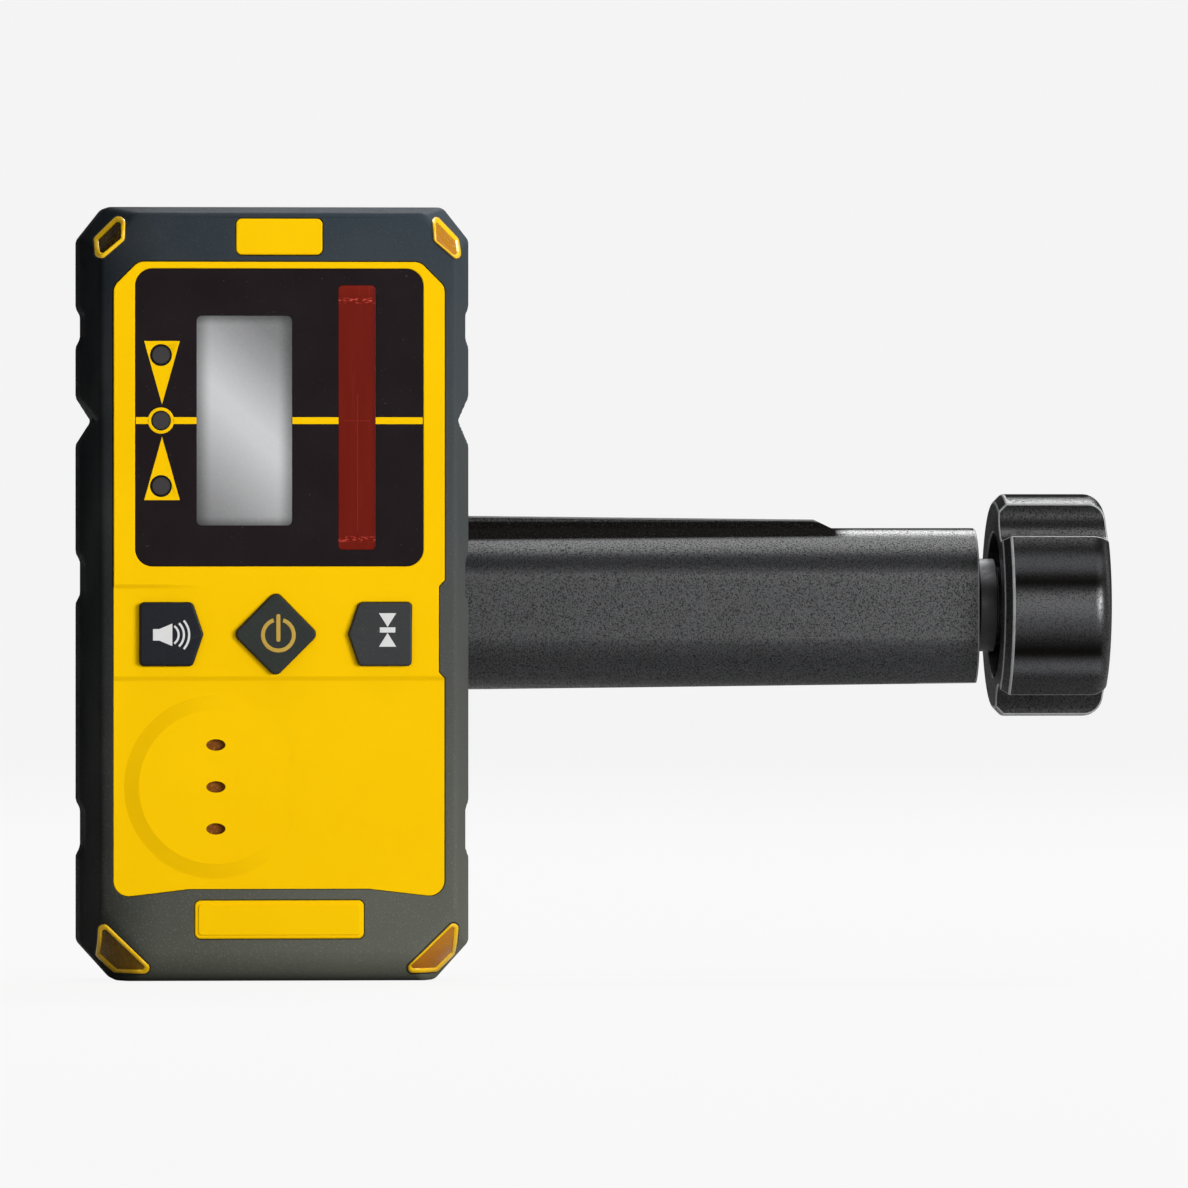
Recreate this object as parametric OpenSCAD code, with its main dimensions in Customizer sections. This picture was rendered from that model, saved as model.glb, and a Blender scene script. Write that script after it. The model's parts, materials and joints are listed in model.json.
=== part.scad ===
/* [Receiver body] */
// Width across the grip pads
body_w = 74.6; // [72:0.2:84]
// Height from the base to the top
body_h = 148; // [144:1:164]
// Depth from the front face to the rear face
body_d = 30; // [29.5:0.5:36]
// Depth of the front part, over which the sides taper
bevel_d = 13.7; // [11:0.1:14.5]
// How far each side tapers in at the front
side_taper = 3.2; // [2:0.1:4]
// Height of the front's lower edge above the base
base_rise = 5; // [3:0.1:5.5]
// Drop of the front's upper edge below the top
top_drop = 1.3; // [1:0.1:3]
// Width of the lower corner cut
low_cut_w = 6.6; // [5:0.1:8]
// Height of the lower corner cut
low_cut_h = 7.3; // [5:0.1:9]
// Width of the upper corner cut
high_cut_w = 5; // [4:0.1:7]
// Height of the upper corner cut
high_cut_h = 6.3; // [4:0.1:8]
// Extra size of the corner cuts at the front
front_cut_extra = 1.6; // [0.5:0.1:2.5]
// How far the rear edges taper in
rear_taper = 2.4; // [1:0.1:3]

/* [Skin and shells] */
// Thickness of the soft skin on the sides
skin_t = 2; // [1.5:0.1:2.5]
// Thickness of the soft skin on the front and rear
skin_face_t = 1.2; // [1:0.1:1.6]
// Wall of the hard shells
shell_t = 1.8; // [1.5:0.1:2.4]
// Place of the parting line behind the widest edge
parting_gap = 2.3; // [1.5:0.1:3]
// Depth of the grip recesses
grip_depth = 0.9; // [0.4:0.1:1.2]
// Depth of the reference notches
notch_depth = 3.2; // [2:0.1:3.6]
// Height of the reference notches at the mouth
notch_h = 9; // [6:0.5:10]

/* [Faceplate] */
// Width of the skin beside the yellow faceplate
face_side_gap = 2.5; // [2:0.1:3.5]
// Gap from the faceplate's upper edge to the top of the body
face_top_gap = 10.7; // [9.5:0.1:12]
// Height of the faceplate's lower edge at the middle
face_low = 17.8; // [17:0.1:19]
// How much lower the outer ends of the lower edge are
face_dip = 1.7; // [0:0.1:2]
// How far the faceplate stands out of the skin
face_proud = 0.4; // [0.2:0.1:0.8]
// Cut at the upper corners of the faceplate
face_cut = 4.7; // [3:0.1:6]
// Radius at the ends of those cuts
face_cut_r = 2.6; // [1:0.1:3]
// Depth of the band that holds the keys
band_depth = 0.5; // [0.2:0.1:0.8]
// Depth of the grip notch on the right edge
edge_notch = 1.1; // [0.5:0.1:1.5]

/* [Display] */
// Width of the faceplate beside the black display panel
panel_side_gap = 4.1; // [3.5:0.1:6]
// Height of the panel's lower edge above the base
panel_low = 79.3; // [78:0.1:82]
// Thickness of the panel
panel_t = 1.3; // [1:0.1:1.5]
// Width of the display window
lcd_w = 18.3; // [15:0.1:20]
// Height of the panel above and below the display window
lcd_margin = 8.35; // [7:0.05:11]
// Width of the red sensor window
sensor_w = 7.1; // [5:0.1:8]
// Height of the panel above and below the red sensor window
sensor_margin = 3.15; // [2.5:0.05:5]
// Diameter of the signal lamps
lamp_d = 3.7; // [3:0.1:4]
// Distance from the middle lamp to the outer ones, as a share of the panel's height
lamp_pitch_share = 0.22; // [0.19:0.005:0.25]

/* [Keys] */
// Width of the outer keys
key_w = 12.2; // [11:0.1:13]
// Height of the outer keys
key_h = 12.2; // [11:0.1:13]
// Distance of the outer keys from the faceplate's sides
key_side_gap = 5.6; // [4.5:0.1:6]
// Offset of the three keys from the faceplate's middle
key_shift = -0.7; // [-1.5:0.1:1.5]
// Half diagonal of the power key, as a share of the room between the outer keys
power_share = 0.56; // [0.5:0.01:0.6]
// How far the keys travel
key_travel = 0.8; // [0.4:0.1:0.9]
// How far the keys stand out of their band
key_proud = 1.4; // [1.2:0.1:2]

/* [Sound holes] */
// Outer radius of the shallow ring
ring_r = 17.6; // [16:0.1:18]
// Width of the shallow ring
ring_w = 2.9; // [1.5:0.1:4]
// Length of each oval hole
hole_l = 3.7; // [3:0.1:5]
// Height of each oval hole
hole_h = 2.2; // [1.5:0.1:2.6]
// Distance between the holes
hole_pitch = 8; // [6:0.1:9]

/* [Inserts and corners] */
// Width of the upper yellow insert
top_insert_w = 16.5; // [12:0.5:20]
// Height of the upper yellow insert
top_insert_h = 6.9; // [5:0.1:7]
// Width of the lower yellow insert
low_insert_w = 32.3; // [26:0.1:36]
// Height of the lower yellow insert
low_insert_h = 7.3; // [6:0.1:8]
// Width of the yellow frames round the corner windows
corner_frame_w = 0.9; // [0.6:0.1:1.1]

/* [Power] */
// Width of the battery
battery_w = 26.5; // [25:0.1:27.5]
// Length of the battery
battery_l = 48.5; // [47:0.1:49.5]
// Thickness of the battery door
door_t = 3.1; // [2.8:0.1:4]
// Distance from the battery door to the case screws' heads
door_side_gap = 5.2; // [3:0.1:6]
// Height of the battery door above its pin
door_h = 47.5; // [46:0.5:48]
// Diameter of the door's pin
door_pin_d = 1.5; // [1.2:0.1:1.6]

/* [Clamp bracket] */
// Room inside the arm beyond the slot of the jaw
end_room = 9.2; // [5:0.2:14]
// Height of the arm's section
arm_h = 31.2; // [29:0.2:34]
// Depth of the arm's section
arm_d = 20; // [19:0.2:24]
// Radius of the arm's front shoulders
arm_r = 10; // [6:0.2:11]
// Rise of the arm's underside towards its end
arm_draft = 1.2; // [0:0.1:1.4]
// Wall of the arm
arm_wall = 2.6; // [2.2:0.1:3]
// Height of the arm's underside above the base
arm_low = 55.3; // [55.3:0.1:60]
// Height of the rib above the arm
rib_h = 1.7; // [1:0.1:3]
// Rise of the rib towards the body
rib_draft = 0.7; // [0:0.1:1.5]
// Thickness of the bracket's plate
plate_t = 5; // [4:0.1:6]
// How far the jaws reach behind the arm
jaw_reach = 22; // [16:0.5:30]
// Thickness of the jaws along the arm
jaw_t = 11; // [9:0.2:12]
// Thickness of the rubber pads
pad_t = 2.5; // [1.5:0.1:3]

/* [Jaw and screw] */
// Gap between the pads at rest
rod_gap = 50; // [45:0.5:52]
// How far the jaw can close from rest
close_travel = 40; // [30:0.5:40]
// How far the jaw can open from rest
open_travel = 14; // [8:0.5:15]
// Diameter of the lead screw
screw_d = 6; // [5:0.1:6.4]
// Diameter of the nut in the jaw
nut_d = 12; // [10:0.2:12.6]
// Diameter of the thread that holds the bracket to the receiver
mount_d = 6.35; // [6:0.05:8]
// Diameter of the thumb screw's head
thumb_d = 24; // [20:0.5:28]
// Thickness of the thumb screw's head
thumb_t = 7; // [5:0.2:9]

/* [Knob] */
// Diameter of the knob over its lobes
knob_d = 43; // [38:0.2:46]
// Length of the knob
knob_l = 22.2; // [18:0.2:26]
// Gap between the arm's end and the knob
knob_gap = 3.7; // [1.6:0.1:4.5]
// Chamfer of the knob's edge next to the arm
knob_edge = 1.6; // [1:0.1:3]
// Radius of the knob's outer edge
knob_end_edge = 3.6; // [2:0.1:5]
// Height of the dome on the knob's end
knob_dome = 1.2; // [0.4:0.1:2]
// Radius of the valleys between the lobes
valley_r = 5.2; // [3:0.1:6]

/* [Fits] */
// Clearance between pieces that slide on each other
slide_gap = 0.3; // [0.2:0.05:0.4]
// Radial clearance of shafts that turn in their bores
run_gap = 0.05; // [0.02:0.01:0.08]
// Gap between pieces that are pressed or bonded together
seat_gap = 0.02; // [0.01:0.01:0.05]
// Gap round the keys
key_gap = 0.3; // [0.2:0.05:0.5]

/* [Hidden] */
$fn = 48;

// Overrun of the cuts
over = 0.5;
// Thickness of the leaves between which the housing is lofted
leaf = 0.02;
// Steps of a small and of a large rounded corner
arc_steps = 4;
wide_steps = 9;
oval_steps = 24;

// Colours
yellow = [0.98, 0.76, 0.02];
grip_grey = [0.22, 0.23, 0.23];
clamp_grey = [0.2, 0.2, 0.21];
panel_black = [0.08, 0.07, 0.08];
key_grey = [0.17, 0.18, 0.19];
amber = [0.55, 0.35, 0.08];
red_filter = [0.45, 0.1, 0.06];
display_grey = [0.6, 0.6, 0.61];
steel = [0.7, 0.71, 0.73];
brass = [0.8, 0.65, 0.3];
board_green = [0.1, 0.35, 0.2];
rubber_black = [0.1, 0.1, 0.1];

// Planes of the housing, from front to rear
front_y = -body_d / 2;
rear_y = body_d / 2;
shoulder_y = front_y + bevel_d;
parting_y = shoulder_y + parting_gap;
rear_shoulder_y = rear_y - rear_taper;
face_y = front_y - face_proud;
band_y = face_y + band_depth;
tub_y = front_y + skin_face_t + seat_gap;
wall_y = tub_y + shell_t;
rear_tub_y = rear_y - skin_face_t - seat_gap;
rear_wall_y = rear_tub_y - shell_t;

// Radius of the housing's outline at its corner cuts
outline_r = 2;
half_w = body_w / 2;
face_half_w = half_w - side_taper - face_side_gap;

// Heights of the faceplate and its display
face_top = body_h - face_top_gap;
panel_gap = 1.3;
panel_r = 3.3;
panel_top = face_top - panel_gap;
panel_w = 2 * (face_half_w - panel_side_gap);
panel_h = panel_top - panel_low;
panel_z = (panel_top + panel_low) / 2;
lcd_h = panel_h - 2 * lcd_margin;
sensor_h = panel_h - 2 * sensor_margin;
lamp_pitch = lamp_pitch_share * panel_h;
panel_ledge = 2.2;
panel_recess = 0.1;
panel_y = face_y + panel_recess;
line_drop = 0.6;
line_z = panel_z - line_drop;
lcd_x_share = -0.121;
sensor_x_share = 0.27;
lamp_x_share = -0.411;
lcd_x = lcd_x_share * panel_w;
sensor_x = sensor_x_share * panel_w;
lamp_x = lamp_x_share * panel_w;
lcd_r = 1;
sensor_r = 0.8;
lamp_z = [line_z - lamp_pitch, line_z, line_z + lamp_pitch];

// Keys, from the face to the switches
key_drop = 12.95;
key_z = panel_low - key_drop;
key_pitch = face_half_w - key_side_gap - key_w / 2;
power_half = power_share * (key_pitch - key_w / 2);
band_below = 8.45;
band_above = 9.15;
key_y = band_y - key_proud;
key_edge = 0.7;
key_r = 0.8;
power_r_share = 0.19;
power_r = power_r_share * power_half;
flange_w = 1;
flange_t = 0.5;
flange_y = wall_y + slide_gap;
press_gap = 0.1;
switch_w = 6;
switch_h = 1;
switch_y = flange_y + flange_t + key_travel + press_gap;

// Sound holes
sound_drop = 29.1;
sound_z = key_z - sound_drop;
sound_x_share = -0.383;
sound_x = sound_x_share * face_half_w;
ring_depth = 0.35;
buzzer_d = 25;
buzzer_t = 1.6;

// Boards
board_y = switch_y + switch_h + seat_gap;
board_t = 1.4;
board_low = 9.5;
board_top_gap = 9.5;
board_top = body_h - board_top_gap;
post_d = 7;
post_inset = 12.3;
post_rise = 14;
post_x = half_w - post_inset;
post_z = [post_rise, body_h - post_rise];
board_half_w = post_x - post_d / 2 - slide_gap;
standoff_d = 4.6;
standoff_inset = 3;
module_rim_share = 0.485;
module_rim = module_rim_share * (lcd_x - lcd_w / 2 - lamp_x - lamp_d / 2);
diode_w = 4.6;
diode_t = 1.2;
diode_count = 9;
sensor_board_t = 1;

// Case screws
case_screw_d = 3;
case_head_d = 5.6;
case_head_t = 2;
case_head_drop = 1;
case_screw_bite = 8;
recess_gap = 0.3;

// Battery, its pocket and door
pocket_gap = 0.25;
pocket_t = 1.4;
pocket_y = board_y + board_t + slide_gap;
battery_y = pocket_y + pocket_t + pocket_gap;
battery_low = 9.1;
battery_top = battery_low + battery_l;
stud_h = 3;
stud_d = 5.6;
stud_pitch = 12.7;
stud_wall = 1.2;
contact_t = 1;
pocket_half_w = battery_w / 2 + pocket_gap;
pocket_low = battery_low - pocket_gap;
pocket_top = battery_top + stud_h + contact_t + pocket_gap;
door_y = rear_y - door_t;
battery_t = door_y - slide_gap - battery_y;
door_w = 2 * (post_x - case_head_d / 2 - door_side_gap);
door_pin_z = 7;
door_pin_y = door_y + door_t / 2;
door_top = door_pin_z + door_h;
door_pin_bite = 2.6;
door_grip_w = 14;
door_grip_h = 0.8;
door_grip_pitch = 1.5;
door_grip_r = 0.3;
door_grip_drop = 4;
door_grip_depth = 0.8;
door_r = 2;
door_foot_r = 0.1;

// Yellow land on the rear
rear_land_inset = 8.3;
rear_land_half_w = half_w - rear_land_inset;
rear_land_low = 3.4;
rear_land_top_gap = 6;
rear_land_cut = 6;

// Inserts
insert_r = 1.1;
top_insert_drop = 5.9;
low_insert_rise = 11.95;

// Outlines of the corner windows, as shares of their width and height from the body's corner
low_corner_w = 14.1;
low_corner_h = 12.5;
top_corner_w = 8.1;
top_corner_h = 11.2;
low_corner_shares = [[0.206, 0.4], [0.206, 1], [1, 0.136], [0.454, 0.136]];
top_corner_shares = [[0.296, 0.554], [0.296, 1], [0.963, 0.589], [1, 0.045]];
corner_proud = 0.25;
corner_r = 0.8;
lens_r = 0.3;
lens_drop = 0.7;
lens_t = 1.6;

// Grip recesses, as shares of the body's height: middle and half height
grip_shares = [[0.845, 0.02], [0.52, 0.027], [0.196, 0.03]];

// Clamp bracket
arm_gap = 1;
arm_y = rear_y + arm_gap;
arm_rear = arm_y + arm_d;
arm_top = arm_low + arm_h;
screw_y = arm_y + arm_d / 2;
screw_offset = 0.7;
screw_z = arm_low + arm_h / 2 + screw_offset;
plate_y = rear_y + seat_gap;
plate_left = -20;
plate_right_inset = 0.5;
plate_right = half_w - plate_right_inset;
plate_rise = 10.4;
plate_top = arm_top + plate_rise;
plate_r = 5;
block_w = 12.8;
block_left = plate_right - block_w;
mount_rise = 4.2;
mount_z = screw_z + mount_rise;
mount_depth = 10;
mount_wall = 1.4;
boss_d = 14;
mount_clear = 0.4;
rib_set = 1.5;
rib_y = screw_y + rib_set;
rib_t = 6;
rib_end_gap = 27.7;
rib_slope = 3.5;
fillet_r = 3.2;
end_wall = 7.8;
tail_wall = 9.2;
jaw_inset = 5;
fixed_jaw_left = block_left + jaw_inset;
fixed_face = fixed_jaw_left + jaw_t;
jaw_margin = 0.8;
jaw_low = arm_low + jaw_margin;
jaw_h = arm_h - 2 * jaw_margin;
jaw_r = 3;
pad_margin = 2;
slot_h = 14;

// Moving jaw, nut and screw
moving_face = fixed_face + pad_t + rod_gap + pad_t;
carriage_extra = 4;
carriage_left = moving_face - carriage_extra;
carriage_l = jaw_t + 2 * carriage_extra;
jaw_slot_gap = 1;
slot_left = moving_face - close_travel - jaw_slot_gap;
slot_right = moving_face + jaw_t + open_travel + jaw_slot_gap;
cavity_left = fixed_face + tail_wall;
cavity_right = slot_right + end_room;
arm_end = cavity_right + end_wall;
rib_end = arm_end - rib_end_gap;
nut_inset = 2;
nut_l = carriage_l - 2 * nut_inset;
tail_bite = 7;
clip_gap = 0.5;
clip_t = 1;
clip_d = 11;
clip_groove = 0.5;
bush_wall = 1.5;
washer_d = 18;
washer_t = knob_gap - slide_gap;
knob_x = arm_end + knob_gap;
knob_bite = 17;
hub_d = 15;
knob_wall = 3;
knob_depth = 13;
valley_out = 0.8;
lobe_turn = 7.7;
thumb_scallops = 12;
thumb_scallop_d = 4;

// Outline helpers: points are [across, up]
function unit(v) = v / norm(v);
function around(points, i) = points[(i + len(points)) % len(points)];
function winding(points) =
    sign([for (p = points) 1]
         * [for (i = [0 : len(points) - 1]) cross(around(points, i), around(points, i + 1))]);

// Moves each side of an outline inward by a distance
function inset(points, d) = [
    for (i = [0 : len(points) - 1])
        let (u = unit(around(points, i) - around(points, i - 1)),
             v = unit(around(points, i + 1) - around(points, i)),
             n = [-u[1] - v[1], u[0] + v[0]] / (1 + u * v))
        around(points, i) + n * d * winding(points)
];

// Arc that replaces the corner b between a and c
function arc_corner(a, b, c, r, steps) =
    let (u = unit(a - b),
         v = unit(c - b),
         half = acos(u * v) / 2,
         centre = b + unit(u + v) * r / sin(half),
         first = unit(b + u * r / tan(half) - centre),
         last = unit(b + v * r / tan(half) - centre))
    [for (i = [0 : steps]) centre + r * unit(first * (steps - i) + last * i)];

// Rounds every corner of an outline, each by its own radius
function rounded_each(points, radii, steps = arc_steps) = [
    for (i = [0 : len(points) - 1])
        each arc_corner(around(points, i - 1), points[i], around(points, i + 1), radii[i], steps)
];
function rounded(points, r, steps = arc_steps) = rounded_each(points, [for (p = points) r], steps);
function box_outline(x, z, w, h) = [
    [x - w / 2, z - h / 2], [x + w / 2, z - h / 2], [x + w / 2, z + h / 2], [x - w / 2, z + h / 2]
];
function oval_outline(x, z, w, h) = [
    for (i = [1 : oval_steps])
        let (angle = 360 * i / oval_steps)
        [x + w / 2 * cos(angle), z + h / 2 * sin(angle)]
];
function flipped(points) = [for (p = points) [-p[0], p[1]]];
function shifted(points, x) = [for (p = points) [p[0] + x, p[1]]];

// Body outline with cut corners
function cut_outline(side, low, high, low_w, low_h, high_w, high_h) = [
    [side, low + low_h], [side, high - high_h], [side - high_w, high], [high_w - side, high],
    [-side, high - high_h], [-side, low + low_h], [low_w - side, low], [side - low_w, low]
];
full_outline = cut_outline(half_w, 0, body_h, low_cut_w, low_cut_h, high_cut_w, high_cut_h);
front_outline = cut_outline(half_w - side_taper, base_rise, body_h - top_drop,
                            low_cut_w + front_cut_extra, low_cut_h + front_cut_extra,
                            high_cut_w + front_cut_extra, high_cut_h + front_cut_extra);
rear_outline = cut_outline(half_w - rear_taper, rear_taper, body_h - rear_taper,
                           low_cut_w, low_cut_h, high_cut_w, high_cut_h);

// Faceplate outline: dipped lower edge, grip notch on the right, cut upper corners
band_low = key_z - band_below;
band_high = key_z + band_above;
face_mid_half_share = 0.544;
face_corner_r = 2.9;
face_r = 0.8;
face_outline = rounded_each(
    [[-face_half_w, face_low - face_dip], [-face_half_w * face_mid_half_share, face_low],
     [face_half_w * face_mid_half_share, face_low], [face_half_w, face_low - face_dip],
     [face_half_w, band_low], [face_half_w - edge_notch, band_low + edge_notch],
     [face_half_w - edge_notch, band_high], [face_half_w, band_high + edge_notch],
     [face_half_w, face_top - face_cut], [face_half_w - face_cut, face_top],
     [face_cut - face_half_w, face_top], [-face_half_w, face_top - face_cut]],
    [face_corner_r, face_r, face_r, face_corner_r, edge_notch / 4, edge_notch / 4,
     edge_notch / 4, edge_notch / 4, face_cut_r, face_cut_r, face_cut_r, face_cut_r]);
panel_outline = rounded(box_outline(0, panel_z, panel_w, panel_h), panel_r);
lcd_outline = rounded(box_outline(lcd_x, line_z, lcd_w, lcd_h), lcd_r);
sensor_outline = rounded(box_outline(sensor_x, panel_z, sensor_w, sensor_h), sensor_r);
top_insert_outline = rounded(box_outline(0, body_h - top_insert_drop, top_insert_w, top_insert_h),
                             insert_r);
low_insert_outline = rounded(box_outline(0, low_insert_rise, low_insert_w, low_insert_h), insert_r);

// Corner windows, on the right; the left ones are flipped
low_corner = [for (s = low_corner_shares) [half_w - s[0] * low_corner_w, s[1] * low_corner_h]];
top_corner = [for (s = top_corner_shares) [half_w - s[0] * top_corner_w, body_h - s[1] * top_corner_h]];
corners = [low_corner, flipped(low_corner), top_corner, flipped(top_corner)];

// Keys: the outer ones point at the power key
key_tip_share = 0.17;
key_raw = [
    [-key_pitch - key_w / 2, key_z - key_h / 2],
    [-key_pitch + key_w * (1 / 2 - key_tip_share), key_z - key_h / 2],
    [-key_pitch + key_w / 2, key_z],
    [-key_pitch + key_w * (1 / 2 - key_tip_share), key_z + key_h / 2],
    [-key_pitch - key_w / 2, key_z + key_h / 2]
];
diamond_raw = [[0, key_z - power_half], [power_half, key_z], [0, key_z + power_half], [-power_half, key_z]];
volume_raw = shifted(key_raw, key_shift);
power_raw = shifted(diamond_raw, key_shift);
accuracy_raw = shifted(flipped(key_raw), key_shift);

// Prism along Y from an outline in X and Z
module slab(points, y, depth) {
    translate([0, y + depth, 0])
        rotate([90, 0, 0])
            linear_extrude(depth)
                polygon(points);
}

// Prism along X from an outline in Y and Z
module bar(points, x, length) {
    translate([x, 0, 0])
        rotate([90, 0, 90])
            linear_extrude(length)
                polygon(points);
}

// Round rod along Y
module rod_y(x, z, y, depth, d) {
    translate([x, y + depth, z])
        rotate([90, 0, 0])
            cylinder(h = depth, d = d);
}

// Round rod along X
module rod_x(x, length, d, y = screw_y, z = screw_z) {
    translate([x, y, z])
        rotate([0, 90, 0])
            cylinder(h = length, d = d);
}

// Box from its lowest corner
module block(low, size) {
    translate(low)
        cube(size);
}

// Front half of the housing, t inside its skin, with its face moved back by lift
module front_form(t, lift, extra = 0) {
    hull() {
        slab(rounded(inset(front_outline, t), outline_r), front_y + lift, leaf);
        slab(rounded(inset(full_outline, t), outline_r), shoulder_y, parting_y - shoulder_y + extra);
    }
}

// Rear half of the housing, t inside its skin, with its face moved in by lift
module rear_form(t, lift, extra = 0) {
    hull() {
        slab(rounded(inset(full_outline, t), outline_r), parting_y - extra,
             rear_shoulder_y - lift - parting_y + extra);
        slab(rounded(inset(rear_outline, t), outline_r), rear_y - lift - leaf, leaf);
    }
}

// Grip recesses and reference notches along both sides
module side_reliefs() {
    for (side = [-1, 1]) {
        for (s = grip_shares)
            slab([[side * (half_w + over), (s[0] - s[1]) * body_h - over],
                  [side * (half_w - grip_depth), (s[0] - s[1]) * body_h + grip_depth],
                  [side * (half_w - grip_depth), (s[0] + s[1]) * body_h - grip_depth],
                  [side * (half_w + over), (s[0] + s[1]) * body_h + over]],
                 front_y - over, body_d + 2 * over);
        slab([[side * (half_w + over), line_z - notch_h / 2 - over],
              [side * (half_w - notch_depth), line_z],
              [side * (half_w + over), line_z + notch_h / 2 + over]],
             front_y - over, body_d + 2 * over);
    }
}

// Yellow lands of the front shell, grown by a gap where they are cut out of the skin
module front_lands(gap) {
    slab(inset(face_outline, -gap), face_y, tub_y - face_y + over);
    for (outline = [top_insert_outline, low_insert_outline])
        slab(inset(outline, -gap), face_y + face_proud / 2, tub_y - face_y + over);
}

// Prisms through the four corner windows
module corner_prisms(shrink, r) {
    for (outline = corners)
        slab(rounded(inset(outline, shrink), r), front_y - over, shoulder_y - front_y);
}

// Space in front of and behind the display panel
module panel_cuts() {
    slab(inset(panel_outline, -seat_gap), face_y - over, panel_y + panel_t - face_y + over + seat_gap);
    slab(inset(panel_outline, panel_ledge), face_y - over, wall_y - face_y + 2 * over);
}

// Holes for the three keys
module key_cuts() {
    for (outline = [volume_raw, power_raw, accuracy_raw])
        slab(rounded(inset(outline, -key_gap), key_r), face_y - over, wall_y - face_y + 2 * over);
}

// Oval sound holes and the shallow ring round them
module sound_cuts() {
    for (i = [-1 : 1])
        slab(oval_outline(sound_x, sound_z + i * hole_pitch, hole_l, hole_h),
             face_y - over, wall_y - face_y + 2 * over);
    difference() {
        rod_y(sound_x, sound_z, face_y - over, over + ring_depth, 2 * ring_r);
        rod_y(sound_x, sound_z, face_y - 2 * over, 3 * over + ring_depth, 2 * (ring_r - ring_w));
    }
}

// Places of the four case screws
module at_posts() {
    for (side = [-1, 1])
        for (z = post_z)
            translate([side * post_x, 0, z])
                children();
}

// Places of the board's standoffs
module at_standoffs() {
    for (side = [-1, 1])
        for (z = [board_low + standoff_inset, board_top - standoff_inset])
            translate([side * (board_half_w - standoff_inset), 0, z])
                children();
}

module front_shell() {
    color(yellow)
        difference() {
            union() {
                difference() {
                    union() {
                        front_form(skin_t + seat_gap, skin_face_t + seat_gap);
                        front_lands(0);
                        intersection() {
                            front_form(-corner_proud, -corner_proud);
                            corner_prisms(0, corner_r);
                        }
                    }
                    front_form(skin_t + shell_t, wall_y - front_y, over);
                }
                at_posts()
                    rod_y(0, 0, wall_y - over, parting_y - wall_y + over, post_d);
                at_standoffs()
                    rod_y(0, 0, wall_y - over, board_y - wall_y + over - seat_gap, standoff_d);
            }
            difference() {
                corner_prisms(corner_frame_w, lens_r);
                front_form(lens_drop + lens_t, lens_drop + lens_t, over);
            }
            panel_cuts();
            key_cuts();
            sound_cuts();
            slab(box_outline(0, (band_low + band_high) / 2, body_w, band_high - band_low),
                 face_y - over, over + band_depth);
            side_reliefs();
            at_posts()
                rod_y(0, 0, parting_y - case_screw_bite, case_screw_bite + over,
                      case_screw_d + 2 * seat_gap);
        }
}

module front_bumper() {
    color(grip_grey)
        difference() {
            front_form(0, 0);
            front_form(skin_t, skin_face_t, over);
            front_lands(seat_gap);
            corner_prisms(-seat_gap, corner_r);
            side_reliefs();
        }
}

// Yellow land on the rear
rear_land_outline = cut_outline(rear_land_half_w, rear_land_low, body_h - rear_land_top_gap,
                                rear_land_cut, rear_land_cut, rear_land_cut, rear_land_cut);

// Door with rounded upper corners, grown by a gap for its opening
function door_outline(low, gap) = rounded_each(
    [[-door_w / 2 - gap, low], [door_w / 2 + gap, low],
     [door_w / 2 + gap, door_top + gap], [-door_w / 2 - gap, door_top + gap]],
    [door_foot_r, door_foot_r, door_r + gap, door_r + gap]);

module rear_shell() {
    color(yellow)
        difference() {
            union() {
                difference() {
                    union() {
                        rear_form(skin_t + seat_gap, skin_face_t + seat_gap);
                        slab(rear_land_outline, rear_tub_y - over, rear_y - rear_tub_y + over);
                    }
                    rear_form(skin_t + shell_t, rear_y - rear_wall_y, over);
                }
                block([-pocket_half_w - pocket_t, pocket_y, pocket_low - pocket_t],
                      [2 * (pocket_half_w + pocket_t), rear_wall_y - pocket_y + over,
                       pocket_top - pocket_low + 2 * pocket_t]);
                rod_y(0, mount_z, rear_y - mount_depth - mount_wall, mount_depth, boss_d);
                at_posts()
                    rod_y(0, 0, parting_y, rear_wall_y - parting_y + over, post_d);
            }
            block([-pocket_half_w, pocket_y + pocket_t, pocket_low],
                  [2 * pocket_half_w, door_y - pocket_y - pocket_t, pocket_top - pocket_low]);
            slab(door_outline(door_pin_z - door_t / 2 - slide_gap, slide_gap),
                 door_y - slide_gap, door_t + slide_gap + over);
            rod_x(-door_w / 2 - door_pin_bite - seat_gap, door_w + 2 * (door_pin_bite + seat_gap),
                  door_pin_d + 2 * seat_gap, door_pin_y, door_pin_z);
            rod_y(0, mount_z, rear_y - mount_depth, mount_depth + over,
                  mount_d + 2 * mount_wall + 2 * seat_gap);
            at_posts() {
                rod_y(0, 0, parting_y - over, body_d, case_screw_d + 2 * recess_gap);
                rod_y(0, 0, rear_y - case_head_drop - case_head_t, body_d, case_head_d + 2 * recess_gap);
            }
            gasket_ring(seat_gap, over);
            side_reliefs();
        }
}

module rear_bumper() {
    color(grip_grey)
        difference() {
            rear_form(0, 0);
            rear_form(skin_t, skin_face_t, over);
            slab(inset(rear_land_outline, -seat_gap), rear_wall_y, rear_y - rear_wall_y + over);
            slab(inset(full_outline, -over), parting_y - over, over);
            side_reliefs();
        }
}

// Seal in a groove of the rear shell's rim
gasket_inset = 0.5;
gasket_w = 0.8;
gasket_t = 0.8;
module gasket_ring(gap, extra) {
    difference() {
        slab(inset(full_outline, skin_t + gasket_inset - gap), parting_y - extra, gasket_t + extra + gap);
        slab(inset(full_outline, skin_t + gasket_inset + gasket_w + gap), parting_y - 2 * over - extra,
             gasket_t + 4 * over + extra);
    }
}

module case_gasket() {
    color(rubber_black)
        gasket_ring(0, 0);
}

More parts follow.
